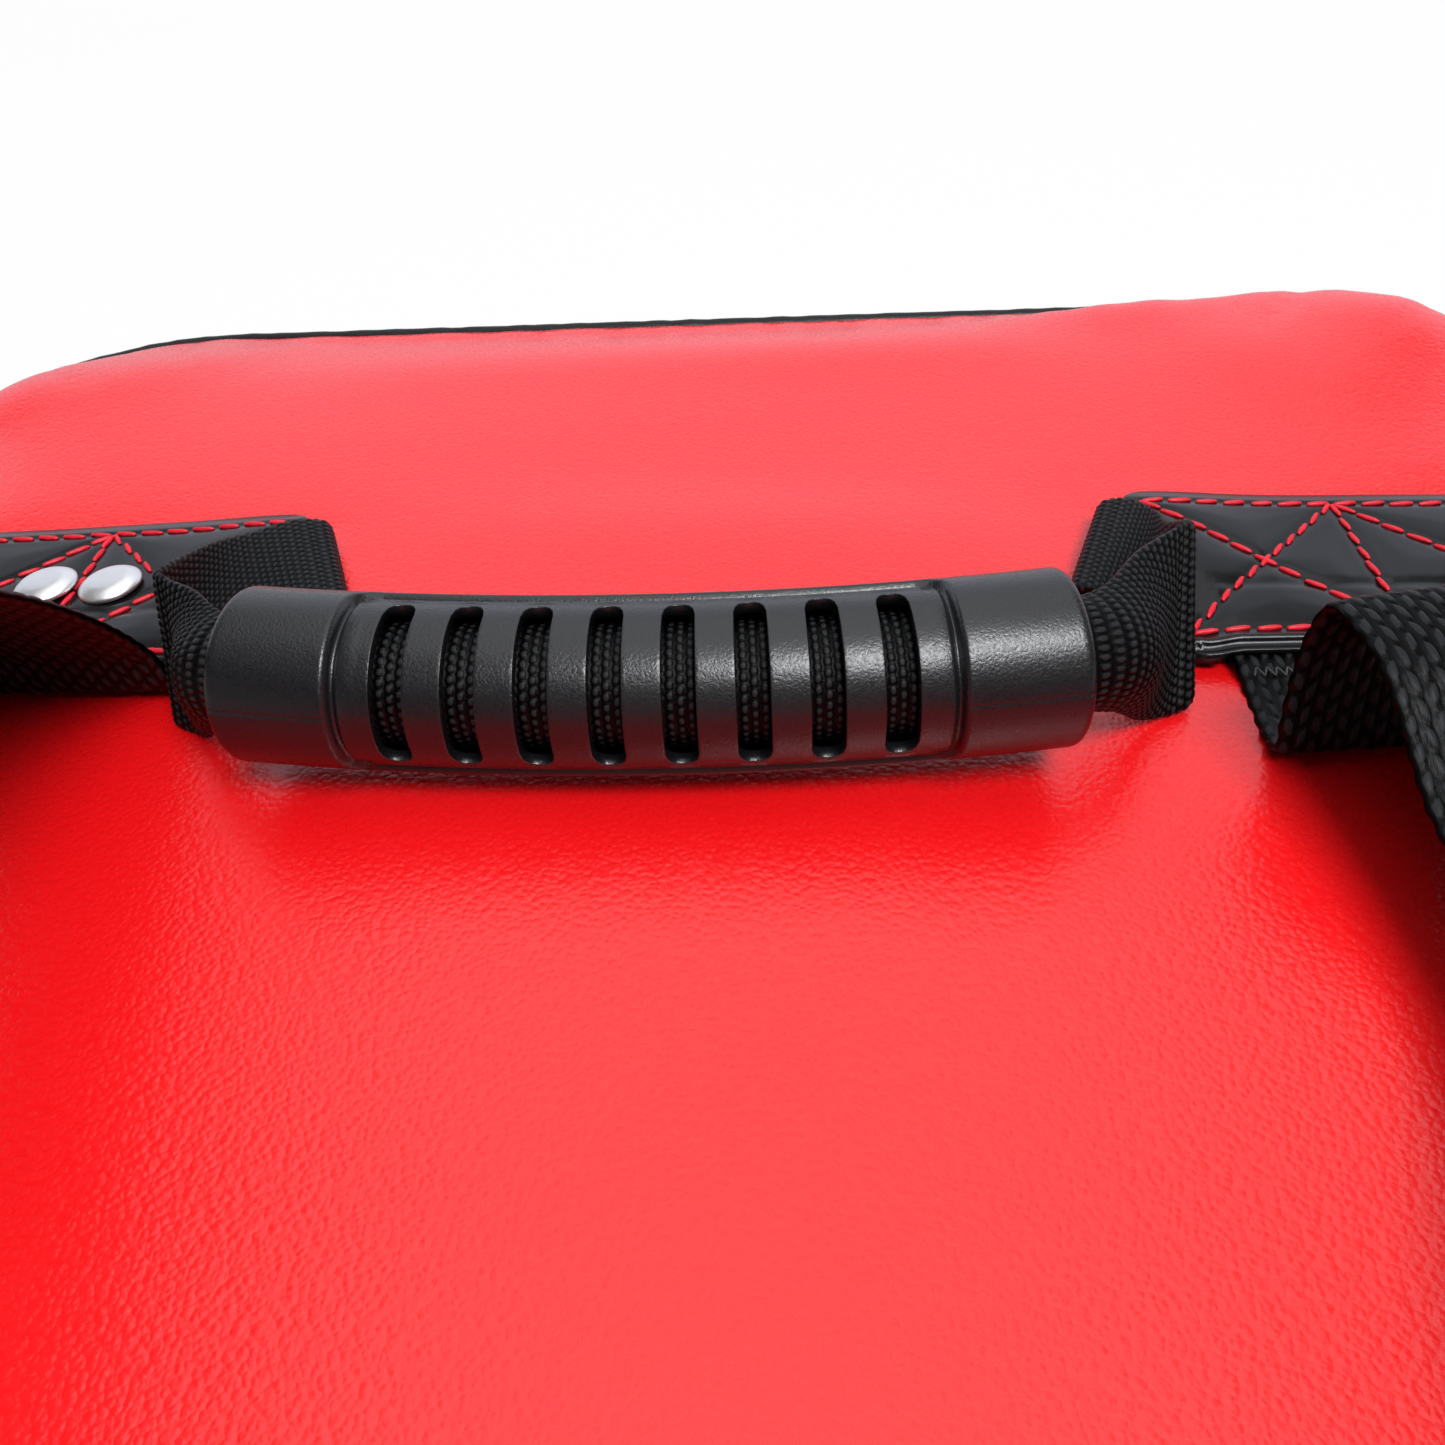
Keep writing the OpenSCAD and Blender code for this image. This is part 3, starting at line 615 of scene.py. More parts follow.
def makePiping(name, s, p, z, seed):
    band = seamBand(name, p, p["beadOut"], s["cell"], s["around"])
    obj, v, around, (x, y, outX, outY), (ringX, ringY) = band
    turn = fullTurn * v
    r = p["bead"] - s["thin"] + s["ripple"] * ripple(ringX, ringY + np.cos(turn) * 2, s["rippleLength"], seed)
    side = r * np.cos(turn)
    writePoints(obj, x + outX * side, y + outY * side, z + r * np.sin(turn))
    scaleUv(obj, around, fullTurn * p["bead"])
    weld(obj, outward=True)
    return obj


dress(makePiping("backPiping", piping, padShape, padShape["top"] - padShape["fall"], 41),
      "pipingVinyl", "pad", "back_piping")
dress(makePiping("frontPiping", piping, padShape, padShape["fall"], 43), "pipingVinyl", "pad", "front_piping")
print("side wall and piping made")

foamLayers = {
    "frontFoam": {"low": 2.2, "high": 44.5, "inset": 5.5, "finish": "denseFoam", "node": "front_foam"},
    "middleFoam": {"low": 45.3, "high": 104.5, "inset": 4.0, "finish": "softFoam", "node": "middle_foam"},
    "backFoam": {"low": 105.3, "high": 146.2, "inset": 5.5, "finish": "denseFoam", "node": "back_foam"},
}
foamCut = {"cells": (40, 60), "wave": 0.5, "waveLength": 60, "drop": 4, "dropReach": 6, "spare": 9, "round": 2.5}


def makeFoam(name, s, c, p):
    gap = s["inset"]
    obj, x, y, edge, _, _ = roundSheet(name, c["cells"], p["seamX"] - gap, p["seamY"] - gap, p["corner"] - gap)
    wave = c["wave"] * ripple(x, y, c["waveLength"], len(name)) * softStep(edge, 0, 20)
    z = s["high"] - c["wave"] + wave - c["drop"] * np.exp(-edge / c["dropReach"])
    writePoints(obj, x, y, z)
    thicken(obj, s["high"] - s["low"] - c["spare"], c["round"], 3)
    dress(obj, s["finish"], "pad", s["node"])


for name, s in foamLayers.items():
    makeFoam(name, s, foamCut, padShape)
print("foam layers made")

# the right upper patch is drawn, and the others are mirrored from it
patchShape = {
    "inner": 83.6, "outer": 163.7, "low": 130.0, "high": 184.4, "corner": 5.5, "cell": 0.72, "taper": 3.8,
    "closer": 1.4, "skin": 0.7, "flat": 154.1, "web": 0.9, "edgeR": 1.2, "foot": 150.5, "mouth": 153.55,
    "rows": (135.8, 178.7), "columns": (86.6, 124.5, 162.4),
    "groove": 0.36, "grooveWide": 1.1, "puff": 0.36, "puffWide": 5.5, "wave": 0.16, "waveLength": 46,
    # place, height and width of the two rolls and the line between them, by distance from the near edge
    "rolls": ((3.2, 0.40, 0.6), (2.1, -1.45, 0.48), (1.15, -0.85, 0.7)),
    "pull": (90, 14, 166, 22, 1.5),  # the webbing pulls the inner end up
    # where webbing lies under the vinyl and where it comes out: rise and fall across it, then its end
    "strapUnder": (89, 95, 141, 147, 147, 153), "webUnder": (145, 152, 179, 183.5, 150, 157),
    "strapMouth": (90, 92.5, 143.5, 146, 135, 138), "webMouth": (146, 149, 181, 184, 87, 90),
}


def webZone(across, along, limits):
    a, b, c, d, e, f = limits
    return softStep(across, a, b) * softFall(across, c, d) * softFall(along, e, f)


def mirrored(x, y, z, right, upper):  # from the right upper patch to any of the four
    return x if right else -x, y if upper else -y, z


def tapered(s, x, y):  # the far edge comes a little nearer toward the pad's side
    out, up = (np.abs(x) - s["inner"]) / (s["outer"] - s["inner"]), (y - s["low"]) / (s["high"] - s["low"])
    return y - s["taper"] * out * up


def sewLines(s):  # two boxes, each with a cross
    a, b, c = s["columns"]
    low, high = s["rows"]
    lines = [((left, y), (right, y)) for y in (high, low) for left, right in ((a, b), (b, c))]
    lines += [((x, low), (x, high)) for x in (a, b, c)]
    for left, right in ((a, b), (b, c)):
        lines += [((left, low), (right, high)), ((left, high), (right, low))]
    return lines


def patchHeight(x, y, s, handle, seed):  # top of the vinyl, in the right upper patch's place
    gap = np.min([segmentGap(x, y, *line) for line in sewLines(s)], axis=0)
    web = webZone(x, y, s["strapUnder"])
    if handle:
        web = np.maximum(web, webZone(y, x, s["webUnder"]))
    z = s["flat"] + s["web"] * web
    z = z + s["puff"] * (1 - hump(gap, s["puffWide"])) - s["groove"] * hump(gap, s["grooveWide"])
    if handle:
        px, wide, py, deep, high = s["pull"]
        z = z + high * hump(x - px, wide, y - py, deep)
    return z + s["wave"] * ripple(x, y, s["waveLength"], seed) * softStep(gap, 0.5, 4)


def patchSheet(name, s, closer=1):
    hx, hy = (s["outer"] - s["inner"]) / 2, (s["high"] - s["low"]) / 2
    cells = [int(2 * half / s["cell"]) for half in (hx, hy)]
    obj, x, y, edge, outX, outY = roundSheet(name, cells, hx, hy, s["corner"], closer)
    return obj, x + (s["outer"] + s["inner"]) / 2, y + (s["high"] + s["low"]) / 2, edge, outX, outY


def makePatch(name, s, right, upper, seed):
    obj, x, y, edge, outX, outY = patchSheet(name, s, s["closer"])
    z = patchHeight(x, y, s, upper, seed)
    fromLow = y - s["low"]
    low = softFall(fromLow, 4.0, 5.2)
    for place, height, width in s["rolls"]:
        z += low * height * hump(fromLow - place, width)
    z -= 0.5 * softStep(y, s["rows"][1] + 0.5, s["high"]) ** 1.5  # far edge leans away
    # rolled edge, then a short skirt down to the panel or to the webbing's mouth
    r = s["edgeR"] - 0.6 * low
    skirt = 0.35  # its share of the edge
    share = np.clip(edge / (2.6 - 1.7 * low), 0, 1)
    angle = np.clip((share - skirt) / (1 - skirt), 0, 1) * math.pi / 2
    mouth = webZone(x, y, s["strapMouth"])
    if upper:
        mouth = np.maximum(webZone(y, x, s["webMouth"]), mouth)
    foot = s["foot"] + 0.9 * low
    foot = foot + (s["mouth"] - foot) * mouth
    down = np.clip(1 - share / skirt, 0, 1) * np.clip(z - r - foot, 0.05, None)
    moveOut = np.where(share < 1, edge - r * (1 - np.cos(angle)), 0)
    z = np.where(share < 1, z - r + r * np.sin(angle) - down, z)
    x, y = x + outX * moveOut, y + outY * moveOut
    writePoints(obj, *mirrored(x, tapered(s, x, y), z, right, upper))
    scaleUv(obj, s["outer"] - s["inner"], s["high"] - s["low"])
    if right != upper:
        turnOver(obj)
    thicken(obj, s["skin"])
    return obj


baseShape = {
    "inner": 84.2, "outer": 163.0, "low": 131.7, "high": 184.2, "corner": 5.0, "cell": 1.6,
    "lowZ": 150.05, "highZ": 151.25, "drop": 0.25, "dropReach": 0.8, "spare": 0.3, "round": 0.35,
}


def makeBase(name, s, right, upper):
    obj, x, y, edge, _, _ = patchSheet(name, s)
    z = s["highZ"] - s["drop"] * np.exp(-edge / s["dropReach"])
    writePoints(obj, *mirrored(x, tapered(patchShape, x, y), z, right, upper))
    if right != upper:
        turnOver(obj)
    thicken(obj, s["highZ"] - s["lowZ"] - s["spare"], s["round"])
    return obj


threadShape = {
    "width": 1.10, "height": 1.02, "gap": 5.4, "fill": 0.86, "slant": 0.34, "sink": 0.32, "stray": 0.15,
    "twist": 0.16, "seed": 5,
}


def addStitch(bm, place, along, length, width, height, twist):  # one plump twisted stitch of thread
    made = bmesh.ops.create_uvsphere(bm, u_segments=8, v_segments=6, radius=1.0)
    side = Vector((0, 0, 1)).cross(along).normalized()
    up = along.cross(side).normalized()
    for v in made["verts"]:
        a = math.atan2(v.co.y, v.co.x)
        plump = math.hypot(v.co.x, v.co.y) ** 0.55 * (1 + twist * math.cos(2 * (a - 3.04 * v.co.z)))
        across = side * (math.cos(a) * width) + up * (math.sin(a) * height)
        v.co = (place + along * (v.co.z * length / 2) + across * (plump / 2)) * mm


def makeStitches(name, p, s, right, upper, seed):
    dice = random.Random(s["seed"] + seed)
    bm = bmesh.new()
    for (ax, ay), (bx, by) in sewLines(p):
        whole = math.hypot(bx - ax, by - ay)
        count = max(1, round(whole / s["gap"]))
        for k in range(count):
            ends = []
            for side in (-1, 1):  # each stitch lies a little across the line
                f, lean = (k + 0.5 + side * s["fill"] / 2) / count, side * s["slant"]
                x = ax + (bx - ax) * f - (by - ay) / whole * lean + dice.uniform(-s["stray"], s["stray"])
                y = ay + (by - ay) * f + (bx - ax) / whole * lean + dice.uniform(-s["stray"], s["stray"])
                z = patchHeight(np.array([x]), np.array([y]), p, upper, seed)[0]
                ends.append(Vector(mirrored(x, tapered(p, x, y), z, right, upper)))
            along = ends[1] - ends[0]
            length = along.length * dice.uniform(0.97, 1.08)
            middle = (ends[0] + ends[1]) / 2 + Vector((0, 0, s["height"] / 2 - s["sink"]))
            width, height = s["width"] * dice.uniform(0.92, 1.1), s["height"] * dice.uniform(0.92, 1.08)
            addStitch(bm, middle, along.normalized(), length, width, height, s["twist"])
    obj = linkObject(name, bm)
    return obj


for right, upper in ((False, True), (True, True), (False, False), (True, False)):
    side, level = "right" if right else "left", "upper" if upper else "lower"
    piece, node = side + level.capitalize(), side + "_" + level
    seed = 50 + 2 * right + upper
    dress(makePatch(piece + "Patch", patchShape, right, upper, seed), "patchVinyl", "pad", node + "_patch")
    dress(makeBase(piece + "Base", baseShape, right, upper), "patchVinyl", "pad", node + "_base")
    dress(makeStitches(piece + "Stitches", patchShape, threadShape, right, upper, seed), "redThread", "pad")
print("patches sewn on")

# folded handle webbing: the same edge curves as the solids, woven at yarn size
handleWeb = {
    "width": 30.0, "thick": 2.0, "cellAlong": 1.5, "cellAcross": 1.5, "bump": 0.42, "points": (5, 5),
    "patchIn": 84.0, "webFar": 180.0, "webNear": 150.0, "tailMid": 152.3, "top": 150.0, "tail": 14.0,
    "gripLen": 127.0, "shift": 6.0, "reach": 24.0, "gripMid": 172.0, "lead": 7.0, "back": 0.7, "face": 38.0,
    "coreR": 8.55, "coreA": 100.53, "bowR": 405.725, "bowY": 507.225,
    "bends": [0] * 11 + [30, 85, 100.53, 100.53],  # rolls to a gutter on its way into the grip
    "blendStart": (0.082, 0.149, 0.154), "blendEnd": (0.1075, 0.1715),
}


def basketRise(along, across, s):  # round yarn bumps in columns, every other column half a step on
    col = np.floor(along / s["cellAlong"] + 1e-4)
    fa = 2 * (along / s["cellAlong"] - col) - 1
    c = across / s["cellAcross"] + 0.5 * np.mod(col, 2) + 1e-4
    fc = 2 * (c - np.floor(c)) - 1
    return np.sqrt(np.clip(1 - np.abs(fa / 0.8) ** 2.2, 0, 1) * np.clip(1 - np.abs(fc / 0.92) ** 2.4, 0, 1))


def floatRise(along, across, s):  # long slanted floats in staggered columns
    col = np.floor(across / s["cellAcross"] + 1e-4)
    fc = 2 * (across / s["cellAcross"] - col) - 1
    odd = np.mod(col, 2)
    a = along / s["cellAlong"] + 0.5 * odd + s["slant"] * fc * (1 - 2 * odd) + 1e-4
    fa = 2 * (a - np.floor(a)) - 1
    return np.sqrt(np.clip(1 - np.abs(fa) ** 2.4, 0, 1) * np.clip(1 - fc**2, 0, 1))


def weaveSheets(name, s, length):  # top and bottom sheet of a strip, in whole yarns
    cellsU, cellsV = round(length / s["cellAlong"]), round(s["width"] / s["cellAcross"])
    perU, perV = s["points"]
    obj, u, v = gridSheet(name, cellsU * perU, cellsV * perV, sides=2)
    sides = np.where(np.arange(len(u)) < len(u) // 2, 1.0, -1.0)
    return obj, u, 2 * v - 1, sides, u * cellsU * s["cellAlong"], v * cellsV * s["cellAcross"]


def roundEnd(distance, reach=1.2):  # a strip thins to nothing at its cut end
    return np.sqrt(np.clip(1 - (1 - np.clip(distance / reach, 0, 1)) ** 2, 0, 1))


def weaveOff(s, sides, q, bumps):  # how far the yarns stand off the middle of the strip, thin at its selvages
    selvage = np.sqrt(np.clip(1 - np.abs(q) ** 26, 0, 1))
    return sides * (s["thick"] / 2 - s["bump"] + s["bump"] * bumps) * selvage


def finishWeave(obj, s, points, bumps, length, caps=False):
    writePoints(obj, points)
    keepValue(obj, "rise", bumps)
    scaleUv(obj, length, s["width"])
    weld(obj, outward=True, caps=caps)
    return obj


def makeRibbon(name, edgeA, edgeB, t0, t1, s, rise, startCap=True, endCap=True):
    spans = (stepLengths(edgeA) + stepLengths(edgeB)) / 2  # the same for both edges
    at = lambda t: (curveAt(edgeA, spans, t), curveAt(edgeB, spans, t))
    fine = np.linspace(t0, t1, 2400)
    run = np.concatenate([[0], np.cumsum(stepLengths(sum(at(fine)) / 2))])
    length, last = run[-1], len(edgeA) - 1
    obj, u, q, sides, along, across = weaveSheets(name, s, length)
    t = np.interp(u * length, run, fine)
    a, b = at(t)
    go = sum(at(np.minimum(t + 0.02, last))) - sum(at(np.maximum(t - 0.02, 0)))
    n, w = unitRows(np.cross(go, a - b)), unitRows(a - b)
    half, mid = np.linalg.norm(a - b, axis=1) / 2, (a + b) / 2
    bumps = rise(along, across, s)
    off = weaveOff(s, sides, q, bumps)
    if startCap:
        off = off * roundEnd(u * length)
    if endCap:
        off = off * roundEnd((1 - u) * length)
    scallop = 0.35 * np.sin(math.pi * along / s["cellAlong"]) ** 2 * np.abs(q) ** 30
    bends = s.get("bends", (0, 0))
    turn = np.radians(np.interp(t, np.linspace(0, last, len(bends)), bends))
    flat = turn < math.radians(1)
    turn = np.where(flat, 1.0, turn)
    r = half / np.sin(turn)
    flatPoints = mid + w * ((half + scallop) * q)[:, None] + n * off[:, None]
    spread = w * np.sin(turn * q)[:, None] + n * np.cos(turn * q)[:, None]
    bentPoints = mid - n * (r * np.cos(turn))[:, None] + spread * (r + off)[:, None]
    points = np.where(flat[:, None], flatPoints, bentPoints)
    return finishWeave(obj, s, points, bumps, length, caps=not (startCap and endCap))


def inGrip(s, side, k, depth):  # edge of the webbing inside the grip, k is 1 far and -1 near
    face, cup = math.radians(s["face"]), math.radians(s["coreA"])
    ca, cc = s["coreR"] * math.sin(cup), s["coreR"] * math.cos(cup)
    a = math.asin((s["gripLen"] / 2 - depth) / s["bowR"])
    r = s["bowR"] - k * ca * math.sin(face) + cc * math.cos(face)
    z = s["gripMid"] + k * ca * math.cos(face) + cc * math.sin(face)
    return side * r * math.sin(a) - s["shift"], s["bowY"] - r * math.cos(a), z


def foldEdges(s, side):  # far and near edges: patch, diagonal fold, upright crease, grip
    mix = lambda a, b, f: a + (b - a) * f
    r, tail, top, far, near = s["patchIn"], s["tailMid"], s["top"], s["webFar"], s["webNear"]
    h = -side * s["shift"] + s["gripLen"] / 2 + s["reach"] + (-2.2 if side < 0 else 1.5)
    m, y, z = inGrip(s, side, 1, 0)
    m, l = side * m, far - y
    farPoints = [
        (r + s["tail"], far, tail), (r, far, tail), (r - 2.2, far - 0.5, tail + 0.3),
        (r - 4.4, far - 1.4, tail + 1.7), (r - 4.4, far - 2.6, tail + 3.9), (r - 1.6, far - 4.2, tail + 5.5),
        (mix(r, h, 0.5) + 2.2, y + 0.765 * l, mix(tail, z, 0.38)), (h + 1, y + 0.56 * l, mix(tail, z, 0.62)),
        (h + 0.6, y + (0.375 + 0.045 * side) * l, z - 3.6), (h + 0.1, y + (0.314 + 0.057 * side) * l, z - 1.9),
        (h - 2.7, y + (0.276 + 0.06 * side) * l, z - 1.2), (mix(m, h, 0.62), y + (0.19 + 0.04 * side) * l, z - 0.3),
    ]
    m, y, z = inGrip(s, side, -1, 0)
    m, l = side * m, near - y
    nearPoints = [
        (r + s["tail"], near, tail), (r, near, tail), (r - 12.2, near - 0.2, tail + 0.1),
        (r - 15.6, near - 1.2, tail + 1.5), (r - 15.8, near - 2.8, tail + 3.7), (r - 13.6, near - 5.4, tail + 5.2),
        (mix(r, h, 0.5) - 9, y + 0.71 * l, top + 6.7 - 0.6 * side), (h - 4, y + 0.487 * l, top + 5.4 - 0.8 * side),
        (h - 0.7, y + 0.381 * l, top + 3.7), (h - 1.2, y + 0.302 * l, top + 3.1),
        (h - 5, y + 0.25 * l, top + 3.2), (mix(m, h, 0.58), y + 0.185 * l, mix(top + 3, z, 0.16)),
    ]
    ends = lambda k: [inGrip(s, side, k, d) for d in (-3, 1, s["lead"])]
    sided = lambda points: [(side * x, y, z) for x, y, z in points]
    return sided(farPoints) + ends(1), sided(nearPoints) + ends(-1)


def makeFold(s, name, side):
    far, near = foldEdges(s, side)
    a, b = (far, near) if side < 0 else (near, far)
    fold = makeRibbon(name + "HandleFold", a, b, 0, len(a) - 1, s, basketRise)
    dress(fold, "handleWeb")
    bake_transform(fold)
    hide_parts(name + "_handle_fold", name + "_handle_tail")


makeFold(handleWeb, "left", -1)
makeFold(handleWeb, "right", 1)
print("handle webbing folded")


def bendAlongBow(s, along, out, up):  # straight grip space to its place on the bow
    turn, r = along / s["bowR"], s["bowR"] + out
    return np.column_stack([-s["shift"] + r * np.sin(turn), s["bowY"] - r * np.cos(turn), s["gripMid"] + up])


def makeCore(s):  # the webbing inside the grip
    length = s["gripLen"] - 2 * (s["lead"] + s["back"])
    obj, u, q, sides, along, across = weaveSheets("handleCore", s, length)
    bumps = basketRise(along, across, s)
    r = s["coreR"] + weaveOff(s, sides, q, bumps) * roundEnd(np.minimum(u, 1 - u) * length)
    turn = np.radians(s["face"] + s["coreA"] * q)
    points = bendAlongBow(s, (u - 0.5) * length, r * np.cos(turn), r * np.sin(turn))
    return finishWeave(obj, s, points, bumps, length)


dress(makeCore(handleWeb), "handleWeb", "handle", "handle_webbing")

gripShape = {
    "outer": 13.75, "bore": 11.05, "endRound": 1.5, "edgeRound": 0.30, "partingAngle": -24.0, "parting": -0.10,
    "slots": 8, "pitch": 10.4, "slotW": 4.8, "slotHalf": 11.75, "slotEnd": 1.5,
    "sunk": 1.0, "sunkHalf": 44.8, "sunkArc": 80.0, "sunkRim": 6, "panelCorner": 4.0, "groove": 0.85, "lip": 0.30,
    # where the mesh has its columns: across a slot in degrees, between slots as shares, the rest in millimetres
    "slotColumns": (-90, -62, -40, -20, 0, 20, 40, 62, 90), "ribColumns": (0.1, 0.25, 0.5, 0.75, 0.9),
    "lastColumns": (0.5, 1.1, 1.8, 2.4), "endColumns": (0.0, 0.12, 0.3, 0.55, 0.85, 1.2, 1.6),
    "rimColumns": (-1.6, -1.2, -0.9, -0.6, -0.3, 0.0, 0.3, 0.6, 0.9, 1.2, 1.6, 2.2),
    # and its rows: past a slot's straight part as shares, round the panel's rim in degrees
    "capRows": (0.35, 0.7, 1.06, 1.2), "rimRows": (-6, -4.6, -3.6, -2.6, -1.6, -0.6, 0.4, 1.4, 2.4, 3.6, 5, 7),
}


def lastSlot(s):  # outer side of the last slot
    return (s["slots"] - 1) / 2 * s["pitch"] + s["slotW"] / 2


def slotOff(s, x):  # distance from the middle of the nearest slot
    k = x / s["pitch"] + (s["slots"] % 2 == 0) * 0.5
    return np.abs(k - np.rint(k)) * s["pitch"]


def slotAngle(s, off):  # how far round the grip a slot reaches at this distance from its middle
    curve = np.sqrt(np.clip(1 - np.abs(off / (s["slotW"] / 2)) ** 3, 0, None))
    reach = s["slotHalf"] - s["slotEnd"] + s["slotEnd"] * curve
    return np.degrees(np.arcsin(np.clip(reach / (s["outer"] - s["sunk"]), -1, 1)))


def gripColumns(s, half):  # positions along the grip, matched to the slots' sides
    cols = []
    for k in range(s["slots"]):
        c = (k - (s["slots"] - 1) / 2) * s["pitch"]
        cols += [c + s["slotW"] / 2 * math.sin(math.radians(a)) for a in s["slotColumns"]]
        cols += [c + s["slotW"] / 2 + (s["pitch"] - s["slotW"]) * f for f in s["ribColumns"]]
    cols = [c for c in cols if abs(c) <= lastSlot(s) + 0.01]
    outside = [lastSlot(s) + f for f in s["lastColumns"]] + [s["sunkHalf"] + f for f in s["rimColumns"]]
    outside += [*np.linspace(s["sunkHalf"] + 3.4, half - 1.8, 12)] + [half - e for e in s["endColumns"]]
    cols += [sign * c for c in outside for sign in (-1, 1)]
    return np.array(sorted({round(float(c), 4) for c in cols}))


def gripRows(s):  # angles round the grip, closer at the slots' ends and at the panel's rim
    straight, cap = slotAngle(s, s["slotW"] / 2), slotAngle(s, 0.0)
    rows = [*np.linspace(-straight, straight, 25)] + [straight + (cap - straight) * f for f in s["capRows"]]
    rows += [s["sunkArc"] + f for f in s["rimRows"]] + [*np.linspace(s["sunkArc"] + 10, 180, 16)[:-1]]
    rows = {round(float(sign * r), 3) for r in rows for sign in (-1, 1)} | {180.0}
    rows |= {s["partingAngle"] + f for f in (-0.9, 0, 0.9)}
    kept = [-180.0]
    for r in sorted(rows):
        if r - kept[-1] > 0.35:
            kept.append(r)
    return np.array(kept)


def openGrip(bm, s, half):  # cuts the slots, gives the tube its wall and rounds the cut edges
    bmesh.ops.remove_doubles(bm, verts=bm.verts, dist=weldGap)
    cut = []
    for f in bm.faces:
        c = f.calc_center_median() / mm
        off, angle = slotOff(s, c.x), abs(math.degrees(math.atan2(c.z, c.y)))
        if off < s["slotW"] / 2 and abs(c.x) < lastSlot(s) and angle < slotAngle(s, off) + 0.4:
            cut.append(f)
    bmesh.ops.delete(bm, geom=cut, context="FACES")
    bmesh.ops.recalc_face_normals(bm, faces=bm.faces)
    if sum(f.normal.yz.dot(f.calc_center_median().yz) for f in bm.faces) < 0:
        bmesh.ops.reverse_faces(bm, faces=bm.faces)
    outer = set(bm.verts)
    rims = [e for e in bm.edges if e.is_boundary]
    bmesh.ops.solidify(bm, geom=bm.faces[:], thickness=2.0 * mm)
    for v in bm.verts:
        if v not in outer:  # the inner wall is the bore
            k = s["bore"] * mm / math.hypot(v.co.y, v.co.z)
            v.co = (max(-half * mm, min(half * mm, v.co.x)), v.co.y * k, v.co.z * k)
    bmesh.ops.bevel(bm, geom=[e for e in rims if e.is_valid], offset=s["edgeRound"] * mm, offset_type="OFFSET",
                    segments=3, profile=0.5, affect="EDGES", material=-1, clamp_overlap=True)


def makeGrip(s, h):
    half = h["gripLen"] / 2
    cols, rows = gripColumns(s, half), gripRows(s)
    obj, u, v = gridSheet("handleGrip", len(cols) - 1, len(rows) - 1)
    x = cols[np.rint(u * (len(cols) - 1)).astype(int)]
    row = rows[np.rint(v * (len(rows) - 1)).astype(int)]
    # rows near a slot's end follow its round end
    off, size, rim = slotOff(s, x), np.abs(row), s["sunkArc"] - s["sunkRim"]
    reach, straight = slotAngle(s, off), slotAngle(s, s["slotW"] / 2)
    past = reach + (size - straight) * (rim - reach) / (rim - straight)
    moved = np.where(size <= straight, size * reach / straight, past)
    inSlot = (off <= s["slotW"] / 2 + 0.01) & (np.abs(x) <= lastSlot(s) + 0.01)
    turn = np.radians(np.where(inSlot & (size < rim), np.sign(row) * moved, row))
    # radius: tube, sunk panel with a rounded outline, a groove inside its rim and a soft lip
    corner = s["panelCorner"]
    dx = np.abs(x) - s["sunkHalf"] + corner
    dy = np.abs(turn * s["outer"]) - math.radians(s["sunkArc"]) * s["outer"] + corner
    inside = corner - np.hypot(np.clip(dx, 0, None), np.clip(dy, 0, None)) - np.minimum(np.maximum(dx, dy), 0)
    r = s["outer"] - s["sunk"] * softStep(inside, -0.5, 0.35)
    r = r - s["groove"] * hump(inside - 0.35, 0.62) + s["lip"] * hump(inside - 1.5, 0.5)
    r = r + s["parting"] * (np.abs(row - s["partingAngle"]) < 0.3) * (inside < -0.6)
    end, er = half - np.abs(x), s["endRound"]
    r = r - np.where(end < er, er - np.sqrt(np.clip(er**2 - (er - end) ** 2, 0, None)), 0) * 0.8
    writePoints(obj, x, r * np.cos(turn), r * np.sin(turn))
    editMesh(obj, lambda bm: openGrip(bm, s, half))
    along, out, up = (readPoints(obj.data) / mm).T
    c, k = math.cos(math.radians(h["face"])), math.sin(math.radians(h["face"]))
    writePoints(obj, bendAlongBow(h, along, out * c - up * k, out * k + up * c))  # slots face up and near
    return obj


dress(makeGrip(gripShape, handleWeb), "gripPlastic", "grip", "handle_grip")
print("grip made")

strapWeb = {
    "width": 50.0, "thick": 2.2, "cellAlong": 4.0, "cellAcross": 2.1, "slant": 0.26, "bump": 0.60, "points": (6, 4),
    "patchLow": 131.5, "x": 118.0, "mid": 152.4, "top": 150.0, "high": 81.0, "tail": 13.0,
    "sewn": 130, "swung": {"left": 62, "right": 76},  # where the strap is sewn down, and on each side a place further out along it
}


def leftEdge(s, x):  # a plain arch
    y, m, z, h = s["patchLow"], s["mid"], s["top"], s["high"]
    half = [
        (y + s["tail"], m), (y, m), (y - 3.5, m + 0.8), (y - 9, z + 0.175 * h), (y - 17.7, z + 0.323 * h),
        (y - 28.4, z + 0.467 * h), (y - 38.4, z + 0.58 * h), (0.57 * y, z + 0.74 * h), (0.38 * y, z + 0.89 * h),
        (0.19 * y, z + 0.975 * h),
    ]
    points = half + [(0, z + h)] + [(-a, b) for a, b in reversed(half)]
    return [(-x, a, b) for a, b in points]


